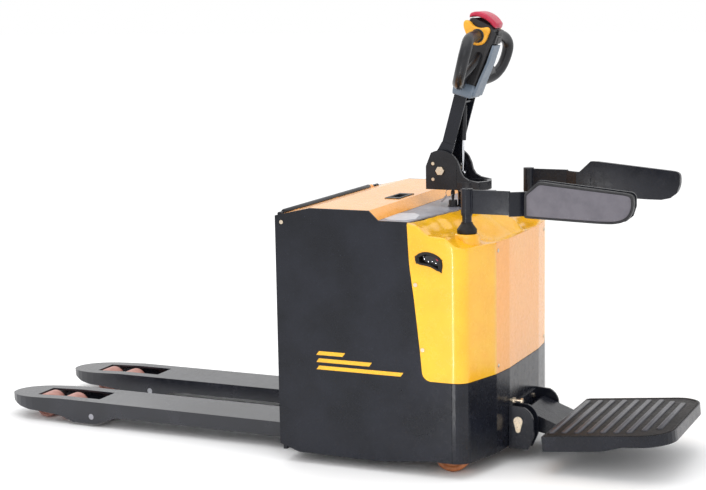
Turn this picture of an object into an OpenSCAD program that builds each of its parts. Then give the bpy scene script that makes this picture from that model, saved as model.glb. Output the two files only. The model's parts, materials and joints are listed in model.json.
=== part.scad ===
// Ride-on electric pallet truck: body, lifting forks, drive, tiller, side arms and folding platform.
// Millimetres. +X runs from the forks to the platform, +Z is up. The origin is on the floor, mid-length.

/* [Body] */
// Width over the side panels
body_w = 770; // [720:5:900]
// Length from the fork-end edge of the side panels to the service panel
body_l = 650; // [640:2:700]
// Height of the battery cover
cover_h = 780; // [770:2:840]
// Height of the deck behind the tiller
deck_h = 752; // [745:1:760]
// Height where the hood ends and the black skirt begins
skirt_h = 288; // [240:2:320]
// Thickness of the side panels
panel_t = 5; // [3:0.5:8]
// Thickness of the moulded hood
hood_t = 3.5; // [2.5:0.5:5]
// Ground clearance under the front skirt
skirt_gap = 49; // [40:1:60]
// Width of the front service panel
service_w = 454; // [360:2:480]

/* [Forks] */
// Length of a fork in front of the body
fork_l = 1113; // [1003:5:1253]
// Width of a fork
fork_w = 172; // [160:1:190]
// Width over both forks
fork_spread = 540; // [520:5:685]
// Height of the lowered fork top
fork_h = 85; // [84:1:95]
// Height of the fork section
fork_side = 47; // [40:1:52]
// Steel thickness of the fork top
fork_t = 6; // [5:0.5:8]
// Lift of the forks
lift = 120; // [80:5:130]

/* [Load wheels] */
// Diameter of a load wheel
load_d = 80; // [74:1:82]
// Width of a load wheel
load_w = 70; // [60:1:74]
// Distance between the two axles of a pair
load_pitch = 92; // [86:1:98]
// Distance from the fork tip to the middle of the pair
load_set = 184; // [176:1:230]
// Distance from the middle of the pair to the rocker pivot
rocker_l = 169; // [150:1:185]
// Height of the rocker pivot
rocker_h = 34; // [32:1:38]
// Radius of the wheel axles
load_axle_r = 8; // [6:0.5:10]
// Radius of the rocker pivot axle
rocker_axle_r = 10; // [8:0.5:11]

/* [Drive and casters] */
// Distance of the steering axis from the fork-end edge
steer_x = 478; // [470:1:486]
// Diameter of the drive wheel
drive_d = 230; // [200:2:250]
// Width of the drive wheel
drive_w = 74; // [60:1:80]
// Distance of the caster pivots from the fork-end edge
caster_x = 500; // [490:1:505]
// Distance between the caster pivots
caster_track = 576; // [560:2:580]
// Diameter of a caster wheel
caster_d = 115; // [100:1:120]
// Width of a caster wheel
caster_w = 42; // [34:1:46]
// Trail of a caster
caster_trail = 25; // [15:1:26]

/* [Tiller] */
// Distance of the tilt bolt from the fork-end edge
tilt_x = 402; // [398:1:404]
// Height of the tilt bolt
tilt_h = 864; // [864:1:880]
// Lean of the tiller at rest
lean = 15.5; // [12:0.5:17]
// Radius of the tilt bolt
tilt_r = 10; // [8:0.5:12]
// Length of the arm from the bolt to the head
arm_l = 240; // [230:2:300]
// Width of the arm channel
arm_w = 84; // [76:1:86]
// Depth of the arm channel
arm_d = 40; // [36:1:44]
// Half width of the handle over its loops, to the tube centre
loop_reach = 189; // [160:1:195]
// Radius of the handle tube
loop_r = 17; // [14:0.5:17.5]

/* [Side arms] */
// Distance of the posts from the fork-end edge
post_x = 570; // [560:1:576]
// Distance between the posts
post_track = 564; // [540:2:570]
// Radius of a post
post_r = 14; // [12:0.5:15]
// Height of a post's sleeve top
post_h = 842; // [842:1:870]
// Length of a pad
pad_l = 320; // [260:5:340]
// Thickness of a pad
pad_t = 28; // [20:1:34]

/* [Platform] */
// Distance of the platform hinge from the fork-end edge
hinge_x = 680; // [680:1:684]
// Height of the platform hinge
hinge_h = 129; // [124:1:134]
// Radius of the hinge pin
hinge_r = 10; // [8:0.5:12]
// Length of the tread
tread_l = 380; // [360:2:400]
// Width of the tread
tread_w = 472; // [400:2:500]
// Slope of the tread
tread_slope = 5.8; // [2:0.1:8]

/* [Fits] */
// Radial clearance of pins and shafts
fit = 0.05; // [0.02:0.01:0.08]
// Gap between panels
seam = 0.8; // [0.5:0.1:0.9]

/* [Hidden] */
$fn = 48;

black = [0.17, 0.18, 0.22];
yellow = [0.94, 0.74, 0.15];
orange = [0.95, 0.65, 0.36];
zinc = [0.78, 0.7, 0.58];
steel = [0.62, 0.64, 0.68];
rubber = [0.09, 0.09, 0.1];
urethane = [0.74, 0.53, 0.48];
slate = [0.42, 0.47, 0.54];
pad_grey = [0.44, 0.42, 0.48];

half = body_w / 2;
wall = half - panel_t;
service_half = service_w / 2;

// The hinge of the tread plane lies where its inner edge meets the link
tread_x = hinge_x + 99;
tread_h = hinge_h - 14;
rim_out = 34;
platform_end = tread_x + tread_l * cos(tread_slope) + rim_out * sin(tread_slope);
mid_x = (platform_end - fork_l) / 2;

// Heights on the hood's sloping top, front to back
hood_front_h = deck_h - 72;
hood_rear_x = 424;

// ---- helpers ----
module seat() {
    translate([-mid_x, 0, 0]) children();
}

module both_sides() {
    children();
    mirror([0, 1, 0]) children();
}

// A cylinder along Y between two places
module rod_y(x, z, r, y0, y1) {
    translate([x, y0, z]) rotate([-90, 0, 0]) cylinder(r = r, h = y1 - y0);
}

// A prism along Y with a side profile in X and Z
module side_prism(points, y0, y1) {
    translate([0, y1, 0]) rotate([90, 0, 0]) linear_extrude(y1 - y0) polygon(points);
}

module slab(x0, x1, y0, y1, z0, z1) {
    translate([x0, y0, z0]) cube([x1 - x0, y1 - y0, z1 - z0]);
}

function arc(cx, cy, r, a0, a1, n) =
    [for (i = [0:n]) let (a = a0 + (a1 - a0) * i / n) [cx + r * cos(a), cy + r * sin(a)]];

function flip(points) = [for (i = [len(points) - 1:-1:0]) [points[i][0], -points[i][1]]];

// ---- body outline ----
corner_r = 46;
corner_x = body_l - 90;
facet_turn = 73.7;
facet_x = body_l - 9.6;

function outline_half(inset) = concat(
    [[-40, -half + inset]],
    arc(corner_x, -half + corner_r, corner_r - inset, -90, facet_turn - 90, 6),
    [[facet_x - inset, -service_half], [body_l - inset, -service_half + 88]]);
function outline(inset) = concat(outline_half(inset), flip(outline_half(inset)));

module body_ring(t, z0, z1) {
    translate([0, 0, z0]) difference() {
        linear_extrude(z1 - z0) polygon(outline(0));
        translate([0, 0, -1]) linear_extrude(z1 - z0 + 2) polygon(outline(t));
    }
}

// The seam between side panel and hood, from the deck down to its round corner
seam_r = 28;
seam_foot_x = 466;
function seam_line(gap) = concat(
    [[hood_rear_x + gap, deck_h], [hood_rear_x + 2 + gap, deck_h - 52],
     [hood_rear_x + 6 + gap, deck_h - 124], [hood_rear_x + 20 + gap, deck_h - 226],
     [seam_foot_x - 6 + gap, deck_h - 372]],
    arc(seam_foot_x + seam_r + gap, skirt_h + seam_r + gap, seam_r, 180, 270, 6));

// Side profile of the panel, sloped at the fork end and stepped at the cover
skirt_end_x = corner_x - 2;
panel_profile = concat(
    [[0, 56], [64, 34], [333, 33], [489, skirt_gap], [skirt_end_x, skirt_gap],
     [skirt_end_x, skirt_h]],
    [for (i = [11:-1:0]) seam_line(0)[i]],
    [[334.5, deck_h], [304.5, cover_h], [114, cover_h], [0, deck_h + 2]]);

module side_panel() {
    difference() {
        side_prism(panel_profile, -half, -wall);
        for (p = [[22, deck_h - 17], [450, 571], [470, 381]])
            rod_y(p[0], p[1], 3, -half - 1, -wall + 1);
    }
}

module side_panel_near() {
    color(black) seat() side_panel();
}

module side_panel_far() {
    color(black) seat() mirror([0, 1, 0]) side_panel();
}

skirt_t = 4;
module lower_skirt() {
    color(black) seat() {
        both_sides() intersection() {
            body_ring(skirt_t, skirt_gap, skirt_h - seam);
            slab(skirt_end_x + seam, body_l + 20, -half - 1, -service_half - seam, 0, skirt_h);
        }
        intersection() {
            body_ring(skirt_t, skirt_gap, skirt_h - seam);
            slab(corner_x, body_l + 20, -service_half, service_half, 0, skirt_h);
        }
    }
}

// ---- hood ----
function hood_top(drop) = [
    [hood_rear_x + 10, deck_h - 5 - drop], [hood_rear_x + 32, deck_h - 10 - drop],
    [hood_rear_x + 53, deck_h - 29 - drop], [hood_rear_x + 68, deck_h - 38 - drop],
    [hood_rear_x + 117, deck_h - 41 - drop], [hood_rear_x + 129, deck_h - 51 - drop],
    [hood_rear_x + 147, deck_h - 66 - drop], [body_l + 10, hood_front_h - drop]];
function reverse(points) = [for (i = [len(points) - 1:-1:0]) points[i]];
hood_outer = concat(seam_line(seam), [[body_l + 10, skirt_h + seam]], reverse(hood_top(0)));
hood_inner = concat([[300, skirt_h - 20], [body_l + 10, skirt_h - 20]],
    reverse(hood_top(hood_t)), [[300, deck_h - hood_t]]);

deck_edge_x = 468;
column_r = 40;
function deck_outline(grow) = [[bulkhead_x - 6, -wall + 2], [hood_rear_x + grow - 1, -wall + 2],
    [deck_edge_x + grow, -90], [deck_edge_x + grow, 90], [hood_rear_x + grow - 1, wall - 2],
    [bulkhead_x - 6, wall - 2]];

boss_r = 36;
boss_h = deck_h - 41;
recess_points = concat([[449, 655], [477, 668], [507, 663], [533, 648], [531.5, 610]],
    [[498, 630], [453, 634]]);
function shrink(points, k) = let (c = [492, 646]) [for (p = points) c + (p - c) * k];

module hood() {
    color(yellow) seat() difference() {
        union() {
            difference() {
                intersection() {
                    translate([0, 0, skirt_h]) linear_extrude(deck_h) polygon(outline(0));
                    side_prism(hood_outer, -half, half);
                }
                intersection() {
                    translate([0, 0, skirt_h - 20]) linear_extrude(deck_h)
                        polygon(outline(hood_t));
                    side_prism(hood_inner, -half, half);
                }
            }
            both_sides() translate([post_x, -post_track / 2, boss_h - 60])
                cylinder(r = boss_r, h = 60 - 1);
        }
        // Opening for the service panel
        intersection() {
            body_ring(service_t + seam, skirt_h - 1, deck_h);
            slab(corner_x, body_l + 40, -service_half - seam, service_half + seam, 0, deck_h);
        }
        // Back edge beside the deck
        translate([0, 0, deck_h - 60]) linear_extrude(100) polygon(deck_outline(seam));
        translate([steer_x, 0, 600]) cylinder(r = column_r + 3, h = 200);
        both_sides() translate([post_x, -post_track / 2, 600]) cylinder(r = post_r + 1, h = 200);
        both_sides() side_prism(shrink(recess_points, 0.8), -half - 1, -half + 12);
        both_sides() for (p = [[450, 571], [470, 381]]) rod_y(p[0], p[1], 3, -half - 1, -wall + 1);
    }
}

service_t = 2.5;
module front_panel() {
    color(orange) seat() intersection() {
        body_ring(service_t, skirt_h + seam, hood_front_h);
        slab(corner_x, body_l + 20, -service_half, service_half, 0, deck_h);
    }
}

module deck_plate() {
    color([0.5, 0.5, 0.54]) seat() difference() {
        translate([0, 0, deck_h - 4]) linear_extrude(4) polygon(deck_outline(0));
        translate([steer_x, 0, deck_h - 5]) cylinder(r = column_r + 0.5, h = 6);
        translate([key_x, key_y, deck_h - 5]) cylinder(r = key_r - 2, h = 6);
    }
}

// ---- battery bay ----
cover_t = 2.5;
cover_edge_x = 22;
cover_hinge_x = 12;
cover_hinge_z = deck_h + 6;
cover_hinge_r = 6;
module cover_sheet(y0, y1) {
    side_prism([[cover_edge_x, deck_h + 7], [114, cover_h], [304, cover_h], [333, deck_h + 0.3],
        [330, deck_h + 0.3], [302.8, cover_h - cover_t], [114.4, cover_h - cover_t],
        [cover_edge_x, deck_h + 7 - cover_t]], y0, y1);
}

pull_x = 265;
pull_y = -57;
pull_l = 120;
pull_w = 48;
module battery_cover() {
    color(orange) seat() {
        difference() {
            cover_sheet(-wall + 2, wall - 2);
            slab(pull_x - pull_w / 2 + 4, pull_x + pull_w / 2 - 4, pull_y - pull_l / 2 + 4,
                pull_y + pull_l / 2 - 4, cover_h - 10, cover_h + 5);
        }
        // Hinge knuckles round the rod
        for (y = [-300, -20, 260]) difference() {
            union() {
                rod_y(cover_hinge_x, cover_hinge_z, cover_hinge_r + 3, y, y + 40);
                slab(cover_hinge_x, cover_edge_x + 1, y, y + 40, cover_hinge_z - 1.5,
                    cover_hinge_z + 1);
            }
            rod_y(cover_hinge_x, cover_hinge_z, cover_hinge_r + fit, y - 1, y + 41);
        }
    }
}

module cover_pull() {
    color(black) seat() difference() {
        union() {
            slab(pull_x - pull_w / 2, pull_x + pull_w / 2, pull_y - pull_l / 2,
                pull_y + pull_l / 2, cover_h, cover_h + 2.5);
            slab(pull_x - pull_w / 2 + 4.2, pull_x + pull_w / 2 - 4.2, pull_y - pull_l / 2 + 4.2,
                pull_y + pull_l / 2 - 4.2, cover_h - 22, cover_h + 1);
        }
        slab(pull_x - pull_w / 2 + 8, pull_x + pull_w / 2 - 8, pull_y - 36, pull_y + 36,
            cover_h - 18, cover_h + 5);
    }
}

module cover_hinge() {
    color(black) seat() {
        rod_y(cover_hinge_x, cover_hinge_z, cover_hinge_r, -wall + 1, wall - 30);
        for (y = [-360, -160, 120, 320]) difference() {
            slab(cover_hinge_x - 8, cover_hinge_x + 8, y, y + 14, deck_h - 40, cover_hinge_z + 4);
            rod_y(cover_hinge_x, cover_hinge_z, cover_hinge_r, y - 1, y + 15);
        }
    }
}

battery_x = 120;
battery_l = 196;
battery_w = 624;
battery_h = 620;
floor_z = 120;
cell_rows = 6;
module battery() {
    color([0.25, 0.27, 0.3]) seat() {
        slab(battery_x, battery_x + battery_l, -battery_w / 2, battery_w / 2, floor_z,
            floor_z + battery_h - 30);
        // Cells standing in two rows above the steel tray
        for (i = [0:cell_rows - 1], k = [0, 1])
            translate([battery_x + 6 + k * (battery_l / 2 - 2),
                -battery_w / 2 + 6 + i * (battery_w - 10) / cell_rows, floor_z + battery_h - 30])
                cube([battery_l / 2 - 10, (battery_w - 10) / cell_rows - 4, 18]);
    }
}

// ---- chassis ----
bulkhead_x = 324;
drive_plate_z = 300;
drive_bore_r = 70;
caster_plate_z = 200;
bridge_z = 660;
column_top = 799;
shaft_r = 25;
rail_x = 28;
rail_d = 38;
rail_w = 36;
rail_t = 4;
cylinder_x = 86;
cylinder_r = 22;
module chassis() {
    color(black) seat() {
        difference() {
            union() {
                // Battery floor and bulkhead
                slab(68, bulkhead_x, -wall, wall, floor_z - 8, floor_z);
                slab(bulkhead_x - 6, bulkhead_x, -wall, wall, floor_z - 8, deck_h - 4);
                // Wall between the battery and the lift cylinder, and the bar at the fork end
                slab(battery_x - 7, battery_x - 3, -wall, wall, floor_z - 8, deck_h - 8);
                slab(20, 26, -wall, wall, 650, deck_h - 6);
                // Drive plate and its side rails
                intersection() {
                    slab(bulkhead_x - 1, 610, -wall, wall, drive_plate_z, drive_plate_z + 10);
                    linear_extrude(deck_h) polygon(outline(panel_t));
                }
                both_sides() slab(bulkhead_x - 1, 560, -wall, -wall + 12, caster_plate_z,
                    drive_plate_z + 10);
                // Caster brackets
                both_sides() slab(caster_x - 60, caster_x + 60, -wall, -wall + 170,
                    caster_plate_z, caster_plate_z + 10);
                both_sides() slab(caster_x - 60, caster_x + 60, -wall + 160, -wall + 170,
                    caster_plate_z, drive_plate_z + 1);
                // Bridge that carries the tiller column
                slab(bulkhead_x - 1, 560, -80, 80, bridge_z, bridge_z + 10);
                translate([steer_x, 0, bridge_z]) cylinder(r = column_r, h = column_top - bridge_z);
                // Post brackets
                both_sides() slab(bulkhead_x - 1, 600, -post_track / 2 - 30, -post_track / 2 + 30,
                    bridge_z - 40, bridge_z - 30);
                // Ties from the drive plate to the skirt behind the platform hinge
                slab(598, body_l - skirt_t, -138, 138, drive_plate_z - 90, drive_plate_z - 82);
                slab(598, 610, -138, 138, drive_plate_z - 90, drive_plate_z + 1);
                // Foot of the lift cylinder
                slab(68, 116, -40, 40, 60, 70);
                slab(110, 116, -40, 40, 60, floor_z);
            }
            translate([steer_x, 0, drive_plate_z - 1]) cylinder(r = drive_bore_r + fit, h = 20);
            translate([steer_x, 0, bridge_z - 1]) cylinder(r = shaft_r + fit, h = 200);
            both_sides() translate([caster_x, -caster_track / 2, caster_plate_z - 1])
                cylinder(r = caster_stem_r + fit, h = 12);
            both_sides() translate([post_x, -post_track / 2, bridge_z - 41])
                cylinder(r = post_r, h = 12);
            translate([cylinder_x, 0, floor_z - 9]) cylinder(r = cylinder_r + 1, h = 10);
            // Room for the guide rollers' rails
            both_sides() slab(60, rail_x + rail_d + 2, -wall - 1, -wall + rail_w + 2, floor_z - 9,
                floor_z + 1);
        }
        // Rails for the fork carriage
        both_sides() difference() {
            slab(rail_x, rail_x + rail_d, -wall, -wall + rail_w, 60, 690);
            slab(rail_x + rail_t, rail_x + rail_d - rail_t, -wall + rail_t, -wall + rail_w + 1,
                59, 691);
        }
        both_sides() slab(rail_x + rail_d, 72, -wall, -wall + 8, 90, 660);
        both_sides() slab(70, bulkhead_x - 5, -wall, -wall + 8, floor_z - 1, 300);
    }
}

// Pump motor, oil tank and motor controller on the drive plate, and the lift cylinder
ram_r = 14;
module power_pack() {
    color([0.3, 0.31, 0.34]) seat() {
        difference() {
            translate([cylinder_x, 0, 70]) cylinder(r = cylinder_r, h = 240);
            translate([cylinder_x, 0, 90]) cylinder(r = ram_r + fit, h = 240);
        }
        slab(350, 470, 150, 330, drive_plate_z + 10, drive_plate_z + 190);
        translate([410, 240, drive_plate_z + 190]) cylinder(r = 52, h = 130);
        slab(340, 372, -330, -90, drive_plate_z + 40, drive_plate_z + 240);
        for (i = [0:7]) slab(372, 388, -320 + i * 30, -316 + i * 30, drive_plate_z + 50,
            drive_plate_z + 230);
        slab(bulkhead_x, 340, -300, -120, drive_plate_z + 60, drive_plate_z + 70);
        translate([540, 220, drive_plate_z + 10]) cylinder(r = 38, h = 60);
    }
}

// ---- hood fittings ----
module recess_trims() {
    color(rubber) seat() both_sides() {
        difference() {
            side_prism(recess_points, -half - 2.5, -half);
            side_prism(shrink(recess_points, 0.72), -half - 3, -half + 1);
        }
        // Cup behind the rim
        difference() {
            side_prism(shrink(recess_points, 0.78), -half, -half + 26);
            side_prism(shrink(recess_points, 0.72), -half - 1, -half + 23);
        }
    }
}

module recess_sockets() {
    color([0.62, 0.62, 0.66]) seat() both_sides() {
        slab(470, 492, -half + 12, -half + 23, 642, 654);
        for (x = [500, 511]) rod_y(x, 648, 4, -half + 11, -half + 23);
    }
}

module arm_posts() {
    color(black) seat() both_sides() {
        translate([post_x, -post_track / 2, bridge_z - 60]) cylinder(r = post_r, h = post_h - bridge_z + 54);
        translate([post_x, -post_track / 2, bridge_z - 30]) cylinder(r = post_r + 8, h = 12);
        translate([post_x, -post_track / 2, post_h - 78]) cylinder(r = post_r + 2, h = 3.7);
    }
}

module post_boots() {
    color(rubber) seat() both_sides() translate([post_x, -post_track / 2, boss_h - 1]) difference() {
        rotate_extrude() polygon([[0, 0], [27, 0], [29, 5], [29, 14], [22, 24], [17, 31], [17, 34], [0, 34]]);
        translate([0, 0, -1]) cylinder(r = post_r, h = 40);
    }
}

key_x = 430;
key_y = -28;
key_r = 13;
module key_switch() {
    color(rubber) seat() difference() {
        union() {
            translate([key_x, key_y, deck_h]) cylinder(r = key_r, h = 20);
            translate([key_x, key_y, deck_h - 30]) cylinder(r = key_r - 3, h = 31);
            translate([key_x, key_y, deck_h]) cylinder(r = key_r + 2, h = 4);
        }
        translate([key_x, key_y, deck_h + 2]) cylinder(r = 3 + fit, h = 20);
    }
}

module key() {
    color(rubber) seat() {
        translate([key_x, key_y, deck_h + 3]) cylinder(r = 3, h = 28);
        translate([key_x - 3, key_y, deck_h + 41]) rotate([0, 90, 0]) cylinder(r = 10, h = 6);
        slab(key_x - 3, key_x + 3, key_y - 5, key_y + 5, deck_h + 24, deck_h + 35);
    }
}

screw_r = 6;
module pan_screw(x, z) {
    rod_y(x, z, screw_r, -half - 2.5, -half);
    rod_y(x, z, 2.9, -half, -wall);
}

stop_y = -135;
stop_z = 189;
module fixings() {
    color(zinc) seat() {
        both_sides() {
            pan_screw(22, deck_h - 17);
            pan_screw(450, 571);
            pan_screw(470, 381);
        }
        // Stop bolt with its nut, which the raised platform meets
        translate([body_l + 0.3, stop_y, stop_z]) rotate([0, 90, 0]) {
            cylinder(r = 4, h = 34);
            translate([0, 0, 8]) cylinder(r = 9, h = 8, $fn = 6);
            translate([0, 0, 34]) cylinder(r = 8, h = 6, $fn = 6);
        }
        for (y = [-1, 1]) translate([body_l + base_t + 0.3, y * 70, hinge_h + 25]) rotate([0, 90, 0])
            cylinder(r = 8, h = 4, $fn = 6);
    }
}

// ---- platform hinge ----
base_t = 5;
ear_out = 150;
ear_in = 100;
ear_t = 8;
ear_r = 48;
ear_profile = concat([[body_l + 0.3, 44], [710, 44], [728, 84]],
    arc(hinge_x, hinge_h - 2, ear_r, 0, 70, 5), [[body_l + 0.3, hinge_h + 45]]);
module platform_ears() {
    color(black) seat() {
        difference() {
            union() {
                side_prism(ear_profile, -ear_out, -ear_out + ear_t);
                both_sides() side_prism(ear_profile, -ear_in - ear_t, -ear_in);
            }
            rod_y(hinge_x, hinge_h, hinge_r + fit, -ear_out - 1, ear_out + 1);
        }
        slab(body_l + 0.3, body_l + base_t, -ear_in, ear_in, 60, hinge_h + 42);
        slab(body_l + 0.3, body_l + base_t, -ear_out + ear_t, -ear_in - ear_t, 44, hinge_h + 45);
    }
}

retainer_t = 3;
module retainer(y) {
    rod_y(hinge_x, hinge_h, 14, y - retainer_t, y);
    rod_y(hinge_x, hinge_h - 28, 7, y - retainer_t, y);
    side_prism([[hinge_x - 13.5, hinge_h - 3], [hinge_x - 6.8, hinge_h - 29],
        [hinge_x + 6.8, hinge_h - 29], [hinge_x + 13.5, hinge_h - 3]], y - retainer_t, y);
    rod_y(hinge_x, hinge_h - 28, 4, y - retainer_t - 2, y - retainer_t);
}

module platform_pin() {
    color(zinc) seat() {
        rod_y(hinge_x, hinge_h, hinge_r, -ear_out, ear_in + ear_t);
        retainer(-ear_out);
        mirror([0, 1, 0]) retainer(-ear_in - ear_t);
    }
}

// ---- platform ----
rim_deep = 46;
rim_t = 4;
tread_r = 90;
link_half = 91;
rib_count = 9;
rib_pitch = 39;
module at_tread() {
    translate([tread_x, 0, tread_h]) rotate([0, -tread_slope, 0]) children();
}
function tread_outline(inset) = let (h = tread_w / 2 - inset, l = tread_l - inset, r = tread_r - inset)
    concat([[inset, -h]], arc(l - r, -h + r, r, -90, 0, 8), arc(l - r, h - r, r, 0, 90, 8),
        [[inset, h]]);

module platform_frame() {
    color(black) seat() {
        difference() {
            union() {
                // Sleeve round the hinge pin with two cheeks out to the tread
                rod_y(hinge_x, hinge_h, hinge_r + 8, -link_half - 8, link_half + 8);
                both_sides() side_prism([[hinge_x - 12, hinge_h + 12], [hinge_x + 4, hinge_h + 21],
                    [tread_x + 1, tread_h - 1], [tread_x + 1, tread_h - 40],
                    [hinge_x + 30, hinge_h - 40], [hinge_x, hinge_h - 16]],
                    -link_half, -link_half + 8);
                side_prism([[hinge_x + 4, hinge_h + 21], [tread_x + 1, tread_h - 1],
                    [tread_x + 1, tread_h - 7], [hinge_x + 4, hinge_h + 14]],
                    -link_half + 7, link_half - 7);
            }
            rod_y(hinge_x, hinge_h, hinge_r + fit, -link_half - 9, link_half + 9);
        }
        at_tread() {
            translate([0, 0, -10]) linear_extrude(4) polygon(tread_outline(rim_t - 0.5));
            difference() {
                translate([0, 0, -rim_deep]) linear_extrude(rim_deep - 1) polygon(tread_outline(0));
                translate([0, 0, -rim_deep - 1]) linear_extrude(rim_deep + 2)
                    polygon(tread_outline(rim_t));
                side_prism([[172, -rim_deep - 5], [172, -rim_deep], [237, -rim_out],
                    [tread_l + 5, -rim_out], [tread_l + 5, -rim_deep - 5]], -tread_w, tread_w);
                slab(-1, rim_t + 1, -link_half + 8, link_half - 8, -rim_deep - 1, -12);
            }
        }
    }
}

module platform_mat() {
    color(rubber) seat() at_tread() {
        translate([0, 0, -6]) linear_extrude(5) polygon(tread_outline(rim_t + 0.3));
        for (i = [0:rib_count - 1])
            let (x = 18 + i * rib_pitch, w = tread_w / 2 - 40 - max(0, i - 6) * 22)
                slab(x - 9, x + 9, -w, w, -1.2, 3);
    }
}

// ---- forks ----
fork_y = fork_spread / 2 - fork_w / 2;
nose_l = 150;
nose_drop = 10;
plate_x = 6;
plate_t = 12;
opening_w = 93;
opening_l = 248;
opening_set = 116;
pair_x = -fork_l + load_set;
rocker_x = pair_x + rocker_l;
function nose(inset) = [for (i = [-8:8]) let (a = 90 * i / 8, s = sin(abs(a)), c = cos(a))
    [-fork_l + nose_l - (nose_l - inset) * pow(c, 0.95),
     (fork_w / 2 - inset) * pow(s, 0.92) * (i < 0 ? -1 : 1)]];
function fork_outline(inset) = concat([[plate_x, -fork_w / 2 + inset]], nose(inset),
    [[plate_x, fork_w / 2 - inset]]);
// The side of a fork, with the deep part round the rocker pivot and a raised nose
fork_low = fork_h - fork_side;
deep_z = 10;
drop_x = -fork_l + 230;
side_profile = [[-fork_l - 5, 62], [-fork_l + 15, 56], [-fork_l + 58, fork_low + 4],
    [-fork_l + 105, fork_low - 2], [-fork_l + 150, fork_low - 3], [rocker_x - 125, fork_low - 10],
    [rocker_x - 70, deep_z], [rocker_x + 20, deep_z + 1], [rocker_x + 96, fork_low],
    [plate_x, fork_low], [plate_x, fork_h + 1], [drop_x, fork_h + 1], [drop_x, fork_h],
    [-fork_l - 5, fork_h - nose_drop]];
hollow_profile = [[-fork_l - 5, -2], [plate_x + 2, -2], [plate_x + 2, fork_h - fork_t],
    [drop_x, fork_h - fork_t], [-fork_l - 5, fork_h - fork_t - nose_drop]];

module fork() {
    difference() {
        intersection() {
            linear_extrude(fork_h) polygon(fork_outline(0));
            side_prism(side_profile, -fork_w, fork_w);
        }
        intersection() {
            translate([0, 0, -1]) linear_extrude(fork_h) polygon(concat(
                [[plate_x + 1, -fork_w / 2 + fork_t]], nose(fork_t),
                [[plate_x + 1, fork_w / 2 - fork_t]]));
            side_prism(hollow_profile, -fork_w, fork_w);
        }
        slab(-fork_l + opening_set, -fork_l + opening_set + opening_l, -opening_w / 2,
            opening_w / 2, fork_h - fork_t - nose_drop - 1, fork_h + 1);
        rod_y(rocker_x, rocker_h, rocker_axle_r + fit, -fork_w / 2 - 1, fork_w / 2 + 1);
    }
}

module fork_near() {
    color(black) seat() translate([0, -fork_y, 0]) fork();
}

module fork_far() {
    color(black) seat() translate([0, fork_y, 0]) fork();
}

lever_r = 26;
lever_x = 46;
rod_z = rocker_h + lever_r;
shaft_z = rod_z - lever_r;
torsion_r = 9;
roller_r = 14.5;
plate_top = 520;
bracket_z = 330;
module fork_frame() {
    color(black) seat() {
        difference() {
            union() {
                slab(plate_x, plate_x + plate_t, -wall + 4, wall - 4, 36, plate_top);
                // Bearings of the torsion shaft
                for (y = [-fork_y - 50, -fork_y + 38, fork_y - 50, fork_y + 38])
                    slab(plate_x + plate_t - 1, lever_x + 18, y, y + 12, shaft_z - 14, shaft_z + 24);
            }
            for (y = [-fork_y, fork_y]) slab(plate_x - 1, plate_x + plate_t + 1, y - 20, y + 20,
                rod_z - 14, rod_z + 14);
            rod_y(lever_x, shaft_z, torsion_r + fit, -fork_spread / 2 - 60, fork_spread / 2 + 60);
        }
        // Bracket over the lift cylinder, with its rod
        slab(plate_x + plate_t, cylinder_x + 18, -40, 40, bracket_z, bracket_z + 14);
        translate([cylinder_x, 0, 92]) cylinder(r = ram_r, h = bracket_z - 92);
        // Guide rollers in the rails
        both_sides() for (z = [130, 430]) {
            slab(plate_x + plate_t, 58, -wall + rail_w + 3, -wall + rail_w + 11, z - 18, z + 18);
            rod_y(rail_x + rail_d / 2, z, 8, -wall + 24, -wall + rail_w + 3);
            rod_y(rail_x + rail_d / 2, z, roller_r, -wall + rail_t + 2, -wall + 24);
        }
    }
}

module torsion_shaft() {
    color(steel) seat() {
        rod_y(lever_x, shaft_z, torsion_r, -fork_y - 56, fork_y + 56);
        for (y = [-fork_y, fork_y]) difference() {
            union() {
                rod_y(lever_x, shaft_z, 14, y - 6, y + 6);
                slab(lever_x - 7, lever_x + 7, y - 6, y + 6, shaft_z, shaft_z + lever_r);
                rod_y(lever_x, shaft_z + lever_r, 7, y - 6, y + 6);
            }
            rod_y(lever_x, shaft_z + lever_r, 4, y - 7, y + 7);
        }
    }
}

clevis_gap = 6.3;
rod_tail = rocker_x + 18;
module push_rods() {
    color(steel) seat() for (y = [-fork_y, fork_y]) {
        slab(rod_tail, lever_x - 18, y - 8, y + 8, rod_z - 6, rod_z + 6);
        // Open clevis beside each lever
        for (side = [-1, 1]) {
            slab(rod_tail - 26, rod_tail + 2, y + side * (clevis_gap + 1.5) - 1.5,
                y + side * (clevis_gap + 1.5) + 1.5, rod_z - 6, rod_z + 6);
            slab(lever_x - 20, lever_x + 6, y + side * (clevis_gap + 1.5) - 1.5,
                y + side * (clevis_gap + 1.5) + 1.5, rod_z - 6, rod_z + 6);
        }
    }
}

module rocker_axles() {
    color(steel) seat() for (y = [-fork_y, fork_y])
        rod_y(rocker_x, rocker_h, rocker_axle_r, y - fork_w / 2 + 1, y + fork_w / 2 - 1);
}

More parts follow.
